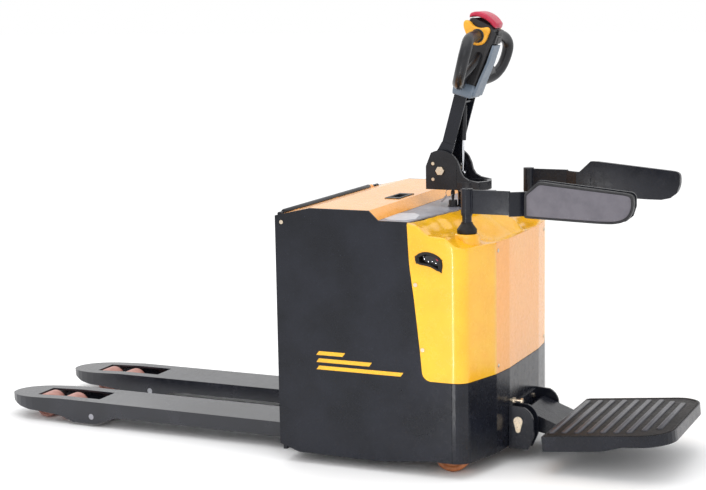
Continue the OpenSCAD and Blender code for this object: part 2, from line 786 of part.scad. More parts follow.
// Rocker: a sleeve on the axle, two arms out to the bogie and a lever for the push rod
pair_z = load_d / 2;
rocker_in = load_w / 2 + 9;
rocker_t = 6;
stub_r = 7;
module rocker(y) {
    difference() {
        union() {
            rod_y(rocker_x, rocker_h, rocker_axle_r + 6, y - rocker_in - rocker_t,
                y + rocker_in + rocker_t);
            for (side = [-1, 1]) translate([0, y + side * (rocker_in + rocker_t / 2), 0]) {
                rod_y(rocker_x, rocker_h, 17, -rocker_t / 2, rocker_t / 2);
                rod_y(pair_x, pair_z, 13, -rocker_t / 2, rocker_t / 2);
                side_prism([[pair_x, pair_z - 12], [rocker_x, rocker_h - 15],
                    [rocker_x, rocker_h + 15], [pair_x, pair_z + 12]], -rocker_t / 2, rocker_t / 2);
            }
            slab(rocker_x - 7, rocker_x + 7, y - 6, y + 6, rocker_h, rod_z);
            rod_y(rocker_x, rod_z, 8, y - 6, y + 6);
        }
        rod_y(rocker_x, rocker_h, rocker_axle_r + fit, y - fork_w / 2, y + fork_w / 2);
        rod_y(rocker_x, rod_z, 4, y - 7, y + 7);
    }
    // Stub pins that carry the bogie
    for (side = [-1, 1]) translate([0, y + side * (rocker_in - 4), 0])
        rod_y(pair_x, pair_z, stub_r, -4, 4);
}

module rocker_near() {
    color(black) seat() rocker(-fork_y);
}

module rocker_far() {
    color(black) seat() rocker(fork_y);
}

// Bogie: two plates with the axles of the wheel pair
bogie_in = load_w / 2 + 2;
bogie_t = 5;
module bogie(y) {
    for (side = [-1, 1]) difference() {
        translate([0, y + side * (bogie_in + bogie_t / 2), 0]) {
            side_prism([[pair_x - load_pitch / 2 - 12, pair_z - 8],
                [pair_x - load_pitch / 2 - 4, pair_z - 14], [pair_x + load_pitch / 2 + 4, pair_z - 14],
                [pair_x + load_pitch / 2 + 12, pair_z - 8], [pair_x + load_pitch / 2 + 12, pair_z + 8],
                [pair_x + load_pitch / 2 + 4, pair_z + 14], [pair_x - load_pitch / 2 - 4, pair_z + 14],
                [pair_x - load_pitch / 2 - 12, pair_z + 8]], -bogie_t / 2, bogie_t / 2);
        }
        rod_y(pair_x, pair_z, stub_r + fit, y - 60, y + 60);
        for (k = [-1, 1]) rod_y(pair_x + k * load_pitch / 2, pair_z, load_axle_r, y - 60, y + 60);
    }
    for (k = [-1, 1]) rod_y(pair_x + k * load_pitch / 2, pair_z, load_axle_r,
        y - bogie_in - bogie_t - 1, y + bogie_in + bogie_t + 1);
}

module bogie_near() {
    color(steel) seat() bogie(-fork_y);
}

module bogie_far() {
    color(steel) seat() bogie(fork_y);
}

module load_wheel(y, k) {
    x = pair_x + k * load_pitch / 2;
    translate([x, y, pair_z]) rotate([90, 0, 0]) difference() {
        rotate_extrude() polygon([[0, -load_w / 2], [load_d / 2 - 4, -load_w / 2],
            [load_d / 2, -load_w / 2 + 4], [load_d / 2, load_w / 2 - 4], [load_d / 2 - 4, load_w / 2],
            [0, load_w / 2]]);
        cylinder(r = load_axle_r + fit, h = load_w + 2, center = true);
        // Recess round each bearing
        for (z = [-load_w / 2 - 1, load_w / 2 - 3]) translate([0, 0, z]) difference() {
            cylinder(r = load_d / 2 - 14, h = 4);
            translate([0, 0, -1]) cylinder(r = load_axle_r + 5, h = 6);
        }
    }
}

module load_wheel_near_front() {
    color(urethane) seat() load_wheel(-fork_y, -1);
}

module load_wheel_near_rear() {
    color(urethane) seat() load_wheel(-fork_y, 1);
}

module load_wheel_far_front() {
    color(urethane) seat() load_wheel(fork_y, -1);
}

module load_wheel_far_rear() {
    color(urethane) seat() load_wheel(fork_y, 1);
}

// ---- drive ----
drive_axle_r = 18;
module drive_unit() {
    color([0.32, 0.33, 0.36]) seat() {
        // Motor, slewing flange and the gear leg beside the wheel
        translate([steer_x, 0, drive_plate_z + 10 + fit * 4]) cylinder(r = 85, h = 230);
        translate([steer_x, 0, drive_plate_z + 235]) cylinder(r = 60, h = 32);
        translate([steer_x, 0, drive_d + 12])
            cylinder(r = drive_bore_r, h = drive_plate_z - drive_d);
        translate([steer_x, 0, drive_d + 12])
            cylinder(r = 98, h = drive_plate_z - drive_d - 12 - fit * 4);
        rod_y(steer_x, drive_d / 2, 62, drive_w / 2 + 5, drive_w / 2 + 45);
        slab(steer_x - 50, steer_x + 50, drive_w / 2 + 5, drive_w / 2 + 45, drive_d / 2,
            drive_d + 14);
        rod_y(steer_x, drive_d / 2, drive_axle_r, -drive_w / 2 + 8, drive_w / 2 + 5);
    }
}

module drive_wheel() {
    color(urethane) seat() difference() {
        translate([steer_x, 0, drive_d / 2]) rotate([90, 0, 0]) rotate_extrude()
            polygon([[0, -drive_w / 2], [drive_d / 2 - 5, -drive_w / 2], [drive_d / 2, -drive_w / 2 + 5],
                [drive_d / 2, drive_w / 2 - 5], [drive_d / 2 - 5, drive_w / 2], [0, drive_w / 2]]);
        rod_y(steer_x, drive_d / 2, drive_axle_r + fit, -drive_w / 2 - 1, drive_w / 2 + 1);
        rod_y(steer_x, drive_d / 2, drive_d / 2 - 28, -drive_w / 2 - 1, -drive_w / 2 + 8);
    }
}

caster_stem_r = 12;
caster_axle_r = 7;
caster_top = caster_plate_z - 14;
module caster_fork(y) {
    axle_x = caster_x + caster_trail;
    leg_in = caster_w / 2 + 3;
    // Stem through the bracket, with its nut above
    translate([caster_x, y, caster_top]) cylinder(r = caster_stem_r, h = 36);
    translate([caster_x, y, caster_plate_z + 10 + 0.3]) cylinder(r = 18, h = 11, $fn = 6);
    translate([caster_x, y, caster_top + 0.5]) cylinder(r = 34, h = 13);
    slab(caster_x - 26, caster_x + 30, y - leg_in - 5, y + leg_in + 5, caster_top - 7, caster_top + 1);
    for (side = [-1, 1]) translate([0, y + side * (leg_in + 2.5), 0]) {
        side_prism([[caster_x - 24, caster_top - 6], [axle_x - 12, caster_d / 2],
            [axle_x + 12, caster_d / 2], [caster_x + 30, caster_top - 6]], -2.5, 2.5);
        rod_y(axle_x, caster_d / 2, 13, -2.5, 2.5);
    }
    rod_y(axle_x, caster_d / 2, caster_axle_r, y - leg_in, y + leg_in);
}

module caster_wheel(y) {
    difference() {
        translate([caster_x + caster_trail, y, caster_d / 2]) rotate([90, 0, 0]) rotate_extrude()
            polygon([[0, -caster_w / 2], [caster_d / 2 - 6, -caster_w / 2],
                [caster_d / 2, -caster_w / 2 + 6], [caster_d / 2, caster_w / 2 - 6],
                [caster_d / 2 - 6, caster_w / 2], [0, caster_w / 2]]);
        rod_y(caster_x + caster_trail, caster_d / 2, caster_axle_r + fit, y - caster_w, y + caster_w);
    }
}

module caster_fork_near() {
    color(steel) seat() caster_fork(-caster_track / 2);
}

module caster_fork_far() {
    color(steel) seat() caster_fork(caster_track / 2);
}

module caster_wheel_near() {
    color([0.7, 0.4, 0.25]) seat() caster_wheel(-caster_track / 2);
}

module caster_wheel_far() {
    color([0.7, 0.4, 0.25]) seat() caster_wheel(caster_track / 2);
}

// ---- tiller base ----
base_h = tilt_h - 58;
base_top = tilt_h - 33;
base_r = 64;
yoke_r = 50;
cheek_in = 50;
cheek_t = 9;
shoulder = [[454.5, base_top - 20], [454.5, tilt_h + 32], [462, tilt_h + 16], [467, tilt_h - 4],
    [476, tilt_h - 18], [492, tilt_h - 27], [524, base_top], [524, base_top - 20]];
module tiller_base() {
    color(black) seat() {
        difference() {
            union() {
                translate([steer_x, 0, base_h]) cylinder(r = base_r, h = base_top - base_h);
                slab(tilt_x - 46, steer_x, -cheek_in, cheek_in, base_h, base_h + 6.5);
                both_sides() side_prism(shoulder, -cheek_in - 9, -cheek_in + 2);
                slab(455, steer_x, -cheek_in - 9, cheek_in + 9, base_h, base_top);
            }
            // Channel for the arm's yoke and the gas spring
            slab(tilt_x - 60, 455, -cheek_in + 1, cheek_in - 1, base_h + 6.5, base_top + 60);
            slab(440, 496, -34, 34, base_h + 6.5, base_top + 1);
            slab(tilt_x - 60, 454.4, -base_r - 1, -cheek_in, base_h - 1, base_top + 1);
            slab(tilt_x - 60, 454.4, cheek_in, base_r + 1, base_h - 1, base_top + 1);
            translate([496, 0, base_h + 6.5]) cylinder(r = 34, h = 40);
        }
        // Steering shaft in the column
        translate([steer_x, 0, bridge_z + 20]) cylinder(r = shaft_r, h = base_h + 2 - bridge_z - 20);
        // Bracket beside the foot of the gas spring
        difference() {
            slab(spring_foot_x - 9, spring_foot_x + 9, 10, 16, base_h + 6, spring_foot_z + 9);
            rod_y(spring_foot_x, spring_foot_z, 4, 9, 17);
        }
    }
}

cheek_x0 = tilt_x - 48;
cheek_profile = concat([[cheek_x0, base_h + 7], [454, base_h + 7]],
    [[454, tilt_h + 34]], arc(tilt_x, tilt_h, 62, 33, 120, 8), [[cheek_x0, tilt_h + 12]]);
module cheek_plates() {
    color(black) seat() both_sides() difference() {
        union() {
            side_prism(cheek_profile, -cheek_in - cheek_t, -cheek_in);
            // Foot that bolts to the floor of the base
            slab(cheek_x0, 454, -cheek_in - cheek_t, -cheek_in, base_h, base_h + 8);
        }
        rod_y(tilt_x, tilt_h, tilt_r, -cheek_in - cheek_t - 1, -cheek_in + 1);
        for (z = [-27, 21]) rod_y(tilt_x - 24, tilt_h + z, 2.5, -cheek_in - cheek_t - 1, -cheek_in - 4);
    }
}

module pivot_bolt() {
    color(zinc) seat() {
        rod_y(tilt_x, tilt_h, tilt_r, -cheek_in - cheek_t, cheek_in + cheek_t);
        both_sides() translate([tilt_x, -cheek_in - cheek_t, tilt_h]) rotate([90, 0, 0])
            cylinder(r = 14, h = 8, $fn = 6);
        both_sides() for (z = [-27, 21]) {
            rod_y(tilt_x - 24, tilt_h + z, 2.4, -cheek_in - cheek_t, -cheek_in - 4.5);
            rod_y(tilt_x - 24, tilt_h + z, 5, -cheek_in - cheek_t - 2.5, -cheek_in - cheek_t);
        }
    }
}

// ---- tiller arm, in its own frame: Z up the arm, X towards the operator ----
arm_back = -23;
arm_wall = 5;
yoke_in = 38;
module at_tiller() {
    translate([tilt_x, 0, tilt_h]) rotate([0, lean, 0]) children();
}

module tiller_arm() {
    color(black) seat() at_tiller() {
        difference() {
            union() {
                slab(arm_back, arm_back + arm_d, -arm_w / 2, arm_w / 2, 34, arm_l + 20);
                both_sides() {
                    rod_y(0, 0, yoke_r, -yoke_in - 8, -yoke_in);
                    side_prism([[-47, 20], [-29, 60], [arm_back, 84], [arm_back + arm_d, 84],
                        [arm_back + arm_d, 40], [40, 20]], -yoke_in - 8, -yoke_in);
                }
                side_prism([[-49, 0], [-46, 24], [-29, 60], [arm_back, 84], [arm_back + 6, 84],
                    [-22, 56], [-38, 22], [-41, 0]], -yoke_in, yoke_in);
            }
            slab(arm_back + arm_wall, arm_back + arm_d + 30, -arm_w / 2 + arm_wall,
                arm_w / 2 - arm_wall, -60, arm_l + 21);
            rod_y(0, 0, tilt_r + fit, -60, 60);
        }
        // Web that holds the top of the gas spring
        slab(arm_back + arm_wall - 1, arm_back + arm_d - 6, -arm_w / 2 + arm_wall - 1,
            arm_w / 2 - arm_wall + 1, spring_top_z + 12, spring_top_z + 18);
    }
}

// Gas spring between the arm and the base, nearly upright in front of the channel
spring_top_x = 2;
spring_top_z = 203;
spring_turn = 13.3;
spring_l = 208;
case_l = 106;
case_r = 9;
stem_r = 4.5;
spring_foot_x = tilt_x + 47;
spring_foot_z = tilt_h - 13;
module at_spring() {
    at_tiller() translate([spring_top_x, 0, spring_top_z]) rotate([0, 180 - spring_turn, 0])
        children();
}

module gas_cylinder() {
    color(steel) seat() at_spring() {
        difference() {
            cylinder(r = case_r, h = case_l);
            translate([0, 0, 8]) cylinder(r = stem_r + fit, h = case_l);
        }
        translate([0, 0, -10]) cylinder(r = 6, h = 10);
    }
}

module gas_rod() {
    color([0.8, 0.81, 0.83]) seat() at_spring() {
        translate([0, 0, case_l - 48]) cylinder(r = stem_r, h = spring_l - case_l + 48 - 8);
        translate([0, 0, spring_l]) rotate([90, 0, 0]) translate([0, 0, -6]) cylinder(r = 9, h = 12);
    }
}

// ---- tiller head, in the tiller's frame ----
head_half = 38;
pod_x = 40;
rocker_pin_x = 52;
rocker_pin_r = 2;
neck_half = 31;
head_top = arm_l + 226;
crown = [[-38, head_top], [-26, head_top + 6], [-8, head_top + 8], [8, head_top + 6],
    [26, head_top], [41, head_top - 10]];
hub_x = 8;
hub_z = arm_l + 184;
hub_r = 22;
module head_body(grow) {
    side_prism(concat([[-38 - grow, hub_z - 46], [56 + grow, hub_z - 16], [57 + grow, hub_z + 14]],
        reverse(crown)), -head_half - grow, head_half + grow);
    side_prism([[-34 - grow, arm_l + 20], [-36 - grow, arm_l + 70], [-38 - grow, hub_z - 30],
        [30 + grow, hub_z - 10], [46, arm_l + 110], [38, arm_l + 60], [30, arm_l + 6]],
        -neck_half - grow, neck_half + grow);
}

module head_shell() {
    color(black) seat() at_tiller() {
        difference() {
            union() {
                head_body(0);
                // Collar round the top of the arm
                side_prism([[arm_back - 5, arm_l - 4], [arm_back - 9, arm_l + 28], [24, arm_l + 40],
                    [24, arm_l - 2]], -arm_w / 2 - 5, arm_w / 2 + 5);
                both_sides() rod_y(hub_x, hub_z, hub_r, -loop_root, -head_half + 1);
                slab(pod_x, pod_x + 14, -head_half - 0.5, head_half + 0.5, hub_z - 14, hub_z + 10);
            }
            slab(arm_back - 0.5, arm_back + arm_d + 0.5, -arm_w / 2 - 0.5, arm_w / 2 + 0.5,
                arm_l - 10, arm_l + 20.5);
            // Hollow for the electronics and the pocket of the belly button
            slab(-24, 28, -24, 24, arm_l + 20, head_top - 14);
            slab(-18.5, 18.5, -18.5, 18.5, head_top - 16, head_top + 20);
            slab(48, 60, -rocker_half - 0.5, rocker_half + 0.5, hub_z + 13.5, hub_z + 30);
            slab(44, 60, -9.5, 9.5, hub_z - 12.5, hub_z + 5.5);
        }
        // Pivot pin of the lift rocker
        rod_y(rocker_pin_x, hub_z + 21, rocker_pin_r, -rocker_half - 1, rocker_half + 1);
    }
}

spine_half = 36;
spine_face = [[30, arm_l + 2], [38, arm_l + 60], [46, arm_l + 110], [50, arm_l + 165]];
module head_spine() {
    color(slate) seat() at_tiller() intersection() {
        side_prism(concat([for (p = spine_face) [p[0] + 1, p[1]]],
            [for (p = reverse(spine_face)) [p[0] + 8, p[1] + 1]]), -60, 60);
        // Bevelled on both long edges
        translate([0, 0, arm_l - 10]) linear_extrude(200) polygon([[20, -spine_half], [34, -spine_half],
            [62, -spine_half + 12], [62, spine_half - 12], [34, spine_half], [20, spine_half]]);
    }
}

loop_root = 60;
loop_skew = 7.5;
loop_foot_z = arm_l + 24;
loop_rise = 17;
corner_top = 42;
corner_low = 52;
bend_lap = 4;
web_t = 22;
// One loop in its own plane, X outwards and Z up: two bends, three tubes that reach a little way
// into them, and a web at the foot
module loop() {
    tube_r = loop_r - 0.3;
    bend_x = loop_reach - corner_low;
    foot_z = loop_foot_z + (loop_reach - 40) * tan(loop_rise);
    bend_z = foot_z + corner_low * tan((90 - loop_rise) / 2);
    foot_l = (bend_x + corner_low * sin(loop_rise) - 20) / cos(loop_rise);
    translate([loop_reach - corner_top, 0, hub_z - corner_top]) {
        rotate([90, 0, 0]) rotate_extrude(angle = 90) translate([corner_top, 0]) circle(r = loop_r);
        translate([bend_lap, 0, corner_top]) rotate([0, -90, 0])
            cylinder(r = tube_r, h = loop_reach - corner_top - loop_root + 2 + bend_lap);
        translate([corner_top, 0, bend_lap]) rotate([180, 0, 0])
            cylinder(r = tube_r, h = hub_z - corner_top - bend_z + 2 * bend_lap);
    }
    translate([bend_x, 0, bend_z]) rotate([0, 90 - loop_rise, 0]) {
        rotate([90, 0, 0]) rotate_extrude(angle = 90 - loop_rise) translate([corner_low, 0])
            circle(r = loop_r);
        translate([corner_low, 0, bend_lap]) rotate([180, 0, 0])
            cylinder(r = tube_r, h = foot_l + bend_lap);
    }
    translate([0, web_t / 2, 0]) rotate([90, 0, 0]) linear_extrude(web_t)
        polygon([[20, loop_foot_z - 6], [20, loop_foot_z + 92], [112, loop_foot_z + 34],
            [112, loop_foot_z + 22]]);
}

module handle_loops() {
    color(rubber) seat() at_tiller() difference() {
        both_sides() rotate([0, 0, -90 + loop_skew]) loop();
        head_body(0.2);
        slab(arm_back - 10, 30, -arm_w / 2 - 5.2, arm_w / 2 + 5.2, arm_l - 20, arm_l + 41);
        both_sides() rod_y(hub_x, hub_z, 34, -loop_root, 0);
        slab(28, 64, -60, 60, arm_l - 20, hub_z + 20);
    }
}

// Butterfly throttle: a ring with two wings on each end of the hub
module throttle() {
    color([0.97, 0.66, 0.2]) seat() at_tiller() both_sides() difference() {
        union() {
            rod_y(hub_x, hub_z, hub_r + 8, -loop_root + 1.5, -head_half - 1);
            side_prism([[hub_x - 26, hub_z + 2], [hub_x - 53, hub_z + 20], [hub_x - 54, hub_z + 32],
                [hub_x - 44, hub_z + 38], [hub_x - 20, hub_z + 24], [hub_x + 12, hub_z + 24],
                [hub_x + 24, hub_z + 31], [hub_x + 31, hub_z + 27], [hub_x + 30, hub_z + 2],
                [hub_x, hub_z - 10]], -loop_root + 3, -head_half - 2);
        }
        rod_y(hub_x, hub_z, hub_r + fit, -loop_root, -head_half);
    }
}

press = 3;
module belly_button() {
    color([0.8, 0.2, 0.33]) seat() at_tiller() {
        side_prism(concat([for (p = crown) [p[0], p[1] + press + 0.3]],
            [[44, head_top + 2]], [for (p = reverse(crown)) [p[0] * 0.97, p[1] + 15]],
            [[-41, head_top + 6]]), -head_half + 2, head_half - 2);
        slab(-18, 18, -18, 18, head_top - 9, head_top + 10);
    }
}

rocker_half = 20;
module lift_rocker() {
    color(rubber) seat() at_tiller() difference() {
        side_prism([[48.5, hub_z + 14], [59, hub_z + 15], [57, hub_z + 21], [58, hub_z + 28],
            [50, hub_z + 29]], -rocker_half, rocker_half);
        slab(40, 48.4, -rocker_half, rocker_half, hub_z, hub_z + 40);
        rod_y(rocker_pin_x, hub_z + 21, rocker_pin_r + fit, -rocker_half - 1, rocker_half + 1);
    }
}

module horn_button() {
    color(rubber) seat() at_tiller() slab(47.5, 57.5, -9, 9, hub_z - 12, hub_z + 5);
}

// ---- side arms ----
sleeve_r = 17;
arm_plate_t = 8;
arm_z0 = post_h - 74;
pad_x = post_x + 172;
pad_face = 12;
function pad_outline(inset) = let (x0 = pad_x + inset, x1 = pad_x + pad_l - inset, z = post_h, i = inset)
    concat([[x0, z - 8], [x0 + 38, z + 28 - i], [x0 + 48, z + 29 - i], [x1 - 16, z + 5 - i]],
        arc(x1 - 16, z - 11, 16 - i, 80, 10, 3),
        [[x1, z - 34], [x1 - 9, z - 62], [x1 - 29, z - 78 + i]],
        [[x1 - 57, z - 84.5 + i], [x0 + 220 - i, z - 84.5 + i], [x0, z - 77 + i]]);
module side_arm() {
    y = -post_track / 2;
    difference() {
        union() {
            translate([post_x, y, arm_z0]) cylinder(r = sleeve_r, h = post_h - arm_z0);
            slab(post_x + 10, post_x + 130, y - arm_plate_t / 2, y + arm_plate_t / 2,
                post_h - 72, post_h - 3);
            // Cranked inwards behind the pad
            translate([0, 0, post_h - 76]) linear_extrude(70) polygon([[post_x + 129, y - 4],
                [pad_x - 4, y + pad_face + 8], [pad_x + 40, y + pad_face + 8],
                [pad_x + 40, y + pad_face + 16], [pad_x - 8, y + pad_face + 16],
                [post_x + 126, y + 4]]);
            side_prism(pad_outline(0), y + pad_face + 8, y + pad_face + 14);
        }
        translate([post_x, y, arm_z0 - 1]) cylinder(r = post_r + fit, h = post_h - arm_z0 - 3);
    }
}

module pad() {
    y = -post_track / 2 + pad_face + 8;
    side_prism(pad_outline(3), y - pad_t, y);
}

module arm_near() {
    color(black) seat() side_arm();
}

module arm_far() {
    color(black) seat() mirror([0, 1, 0]) side_arm();
}

module pad_near() {
    color(pad_grey) seat() pad();
}

module pad_far() {
    color(pad_grey) seat() mirror([0, 1, 0]) pad();
}

chassis();
side_panel_near();
side_panel_far();
lower_skirt();
hood();
front_panel();
deck_plate();
cover_hinge();
battery();
power_pack();
recess_trims();
recess_sockets();
arm_posts();
post_boots();
key_switch();
fixings();
platform_ears();
platform_pin();
battery_cover();
cover_pull();
key();
fork_near();
fork_far();
fork_frame();
torsion_shaft();
push_rods();
rocker_axles();
rocker_near();
rocker_far();
bogie_near();
bogie_far();
load_wheel_near_front();
load_wheel_near_rear();
load_wheel_far_front();
load_wheel_far_rear();
drive_unit();
drive_wheel();
caster_fork_near();
caster_fork_far();
caster_wheel_near();
caster_wheel_far();
tiller_base();
cheek_plates();
pivot_bolt();
tiller_arm();
gas_cylinder();
gas_rod();
head_shell();
head_spine();
handle_loops();
throttle();
belly_button();
lift_rocker();
horn_button();
arm_near();
arm_far();
pad_near();
pad_far();
platform_frame();
platform_mat();
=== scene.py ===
import json
import math
import random

import bmesh
import bpy
from mathutils import Matrix, Vector


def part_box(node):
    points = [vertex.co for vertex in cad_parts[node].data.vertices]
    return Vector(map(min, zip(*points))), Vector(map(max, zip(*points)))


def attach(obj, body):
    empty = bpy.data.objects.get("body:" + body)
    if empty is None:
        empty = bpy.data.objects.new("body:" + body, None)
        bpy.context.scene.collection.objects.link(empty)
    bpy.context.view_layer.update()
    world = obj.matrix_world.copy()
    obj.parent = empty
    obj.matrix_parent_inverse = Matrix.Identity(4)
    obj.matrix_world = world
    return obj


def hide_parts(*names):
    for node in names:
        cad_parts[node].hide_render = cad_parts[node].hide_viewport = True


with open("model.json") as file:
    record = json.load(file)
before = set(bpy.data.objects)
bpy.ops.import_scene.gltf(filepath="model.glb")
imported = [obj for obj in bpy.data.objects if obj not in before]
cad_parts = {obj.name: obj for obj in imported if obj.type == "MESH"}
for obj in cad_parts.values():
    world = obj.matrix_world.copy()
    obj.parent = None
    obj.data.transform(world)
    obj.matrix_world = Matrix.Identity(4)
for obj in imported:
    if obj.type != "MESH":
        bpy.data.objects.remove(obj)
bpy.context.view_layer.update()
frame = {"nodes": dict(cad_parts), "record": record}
nodes = frame["nodes"]
random.seed(7)
scene = bpy.context.scene
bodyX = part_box("side_panel_near")[0].x  # fork-end edge of the side panels
quarterTurn = math.pi / 2
fullTurn = math.tau

# places: x along the truck from the panels' fork-end edge, y across, z up, in millimetres


def place(x, y, z):
    return Vector((x / 1000 + bodyX, y / 1000, z / 1000))


tillerSettings = {"x": 402, "z": 864, "lean": math.radians(15.5)}


def placeTiller(x, y, z):
    c = math.cos(tillerSettings["lean"])
    s = math.sin(tillerSettings["lean"])
    return place(tillerSettings["x"] + x * c + z * s, y, tillerSettings["z"] - x * s + z * c)


treadSettings = {"x": 779, "z": 115, "slope": math.radians(5.8), "length": 380, "width": 472, "corner": 90}


def placeTread(x, y, z):
    c = math.cos(treadSettings["slope"])
    s = math.sin(treadSettings["slope"])
    return place(treadSettings["x"] + x * c - z * s, y, treadSettings["z"] + x * s + z * c)


def along(points, value):
    # straight-line reading of a row of (position, level) pairs
    if value <= points[0][0]:
        return points[0][1]
    for (a, low), (b, high) in zip(points, points[1:]):
        if value <= b:
            return low + (high - low) * (value - a) / (b - a)
    return points[-1][1]


def arcPoints(cx, cy, r, start, end, steps):
    return [
        (cx + r * math.cos(math.radians(start + (end - start) * i / steps)),
         cy + r * math.sin(math.radians(start + (end - start) * i / steps)))
        for i in range(steps + 1)
    ]


def evenly(points, count, closed=False):
    # the same line with evenly spaced points
    path = list(points) + ([points[0]] if closed else [])
    reach = [0]
    for a, b in zip(path, path[1:]):
        reach.append(reach[-1] + math.dist(a, b))
    made = []
    for i in range(count):
        want = reach[-1] * i / (count if closed else count - 1)
        k = max(j for j in range(len(path) - 1) if reach[j] <= want + 1e-9)
        span = reach[k + 1] - reach[k]
        t = (want - reach[k]) / span if span > 1e-9 else 0
        made.append(tuple(p + (q - p) * t for p, q in zip(path[k], path[k + 1])))
    return made


def rounded(points, passes=2, closed=False):
    # corner cutting: each pass takes a quarter off both sides of every corner
    for _ in range(passes):
        made = []
        pairs = list(zip(points, points[1:] + (points[:1] if closed else [])))
        for a, b in pairs:
            made.append(tuple(p * 0.75 + q * 0.25 for p, q in zip(a, b)))
            made.append(tuple(p * 0.25 + q * 0.75 for p, q in zip(a, b)))
        if not closed:
            made = [tuple(points[0])] + made[1:-1] + [tuple(points[-1])]
        points = made
    return points


def filleted(points, steps=5):
    # a closed outline whose corners (first, second, size) are each rounded over that distance
    made = []
    for i, (x, y, size) in enumerate(points):
        corner = Vector((x, y))
        ends = []
        for other in (points[i - 1], points[(i + 1) % len(points)]):
            way = Vector(other[:2]) - corner
            ends.append(corner + way.normalized() * min(size, way.length * 0.49))
        for k in range(steps + 1):
            t = k / steps
            made.append(tuple(ends[0] * (1 - t) ** 2 + corner * (2 * t * (1 - t)) + ends[1] * t ** 2))
    return made


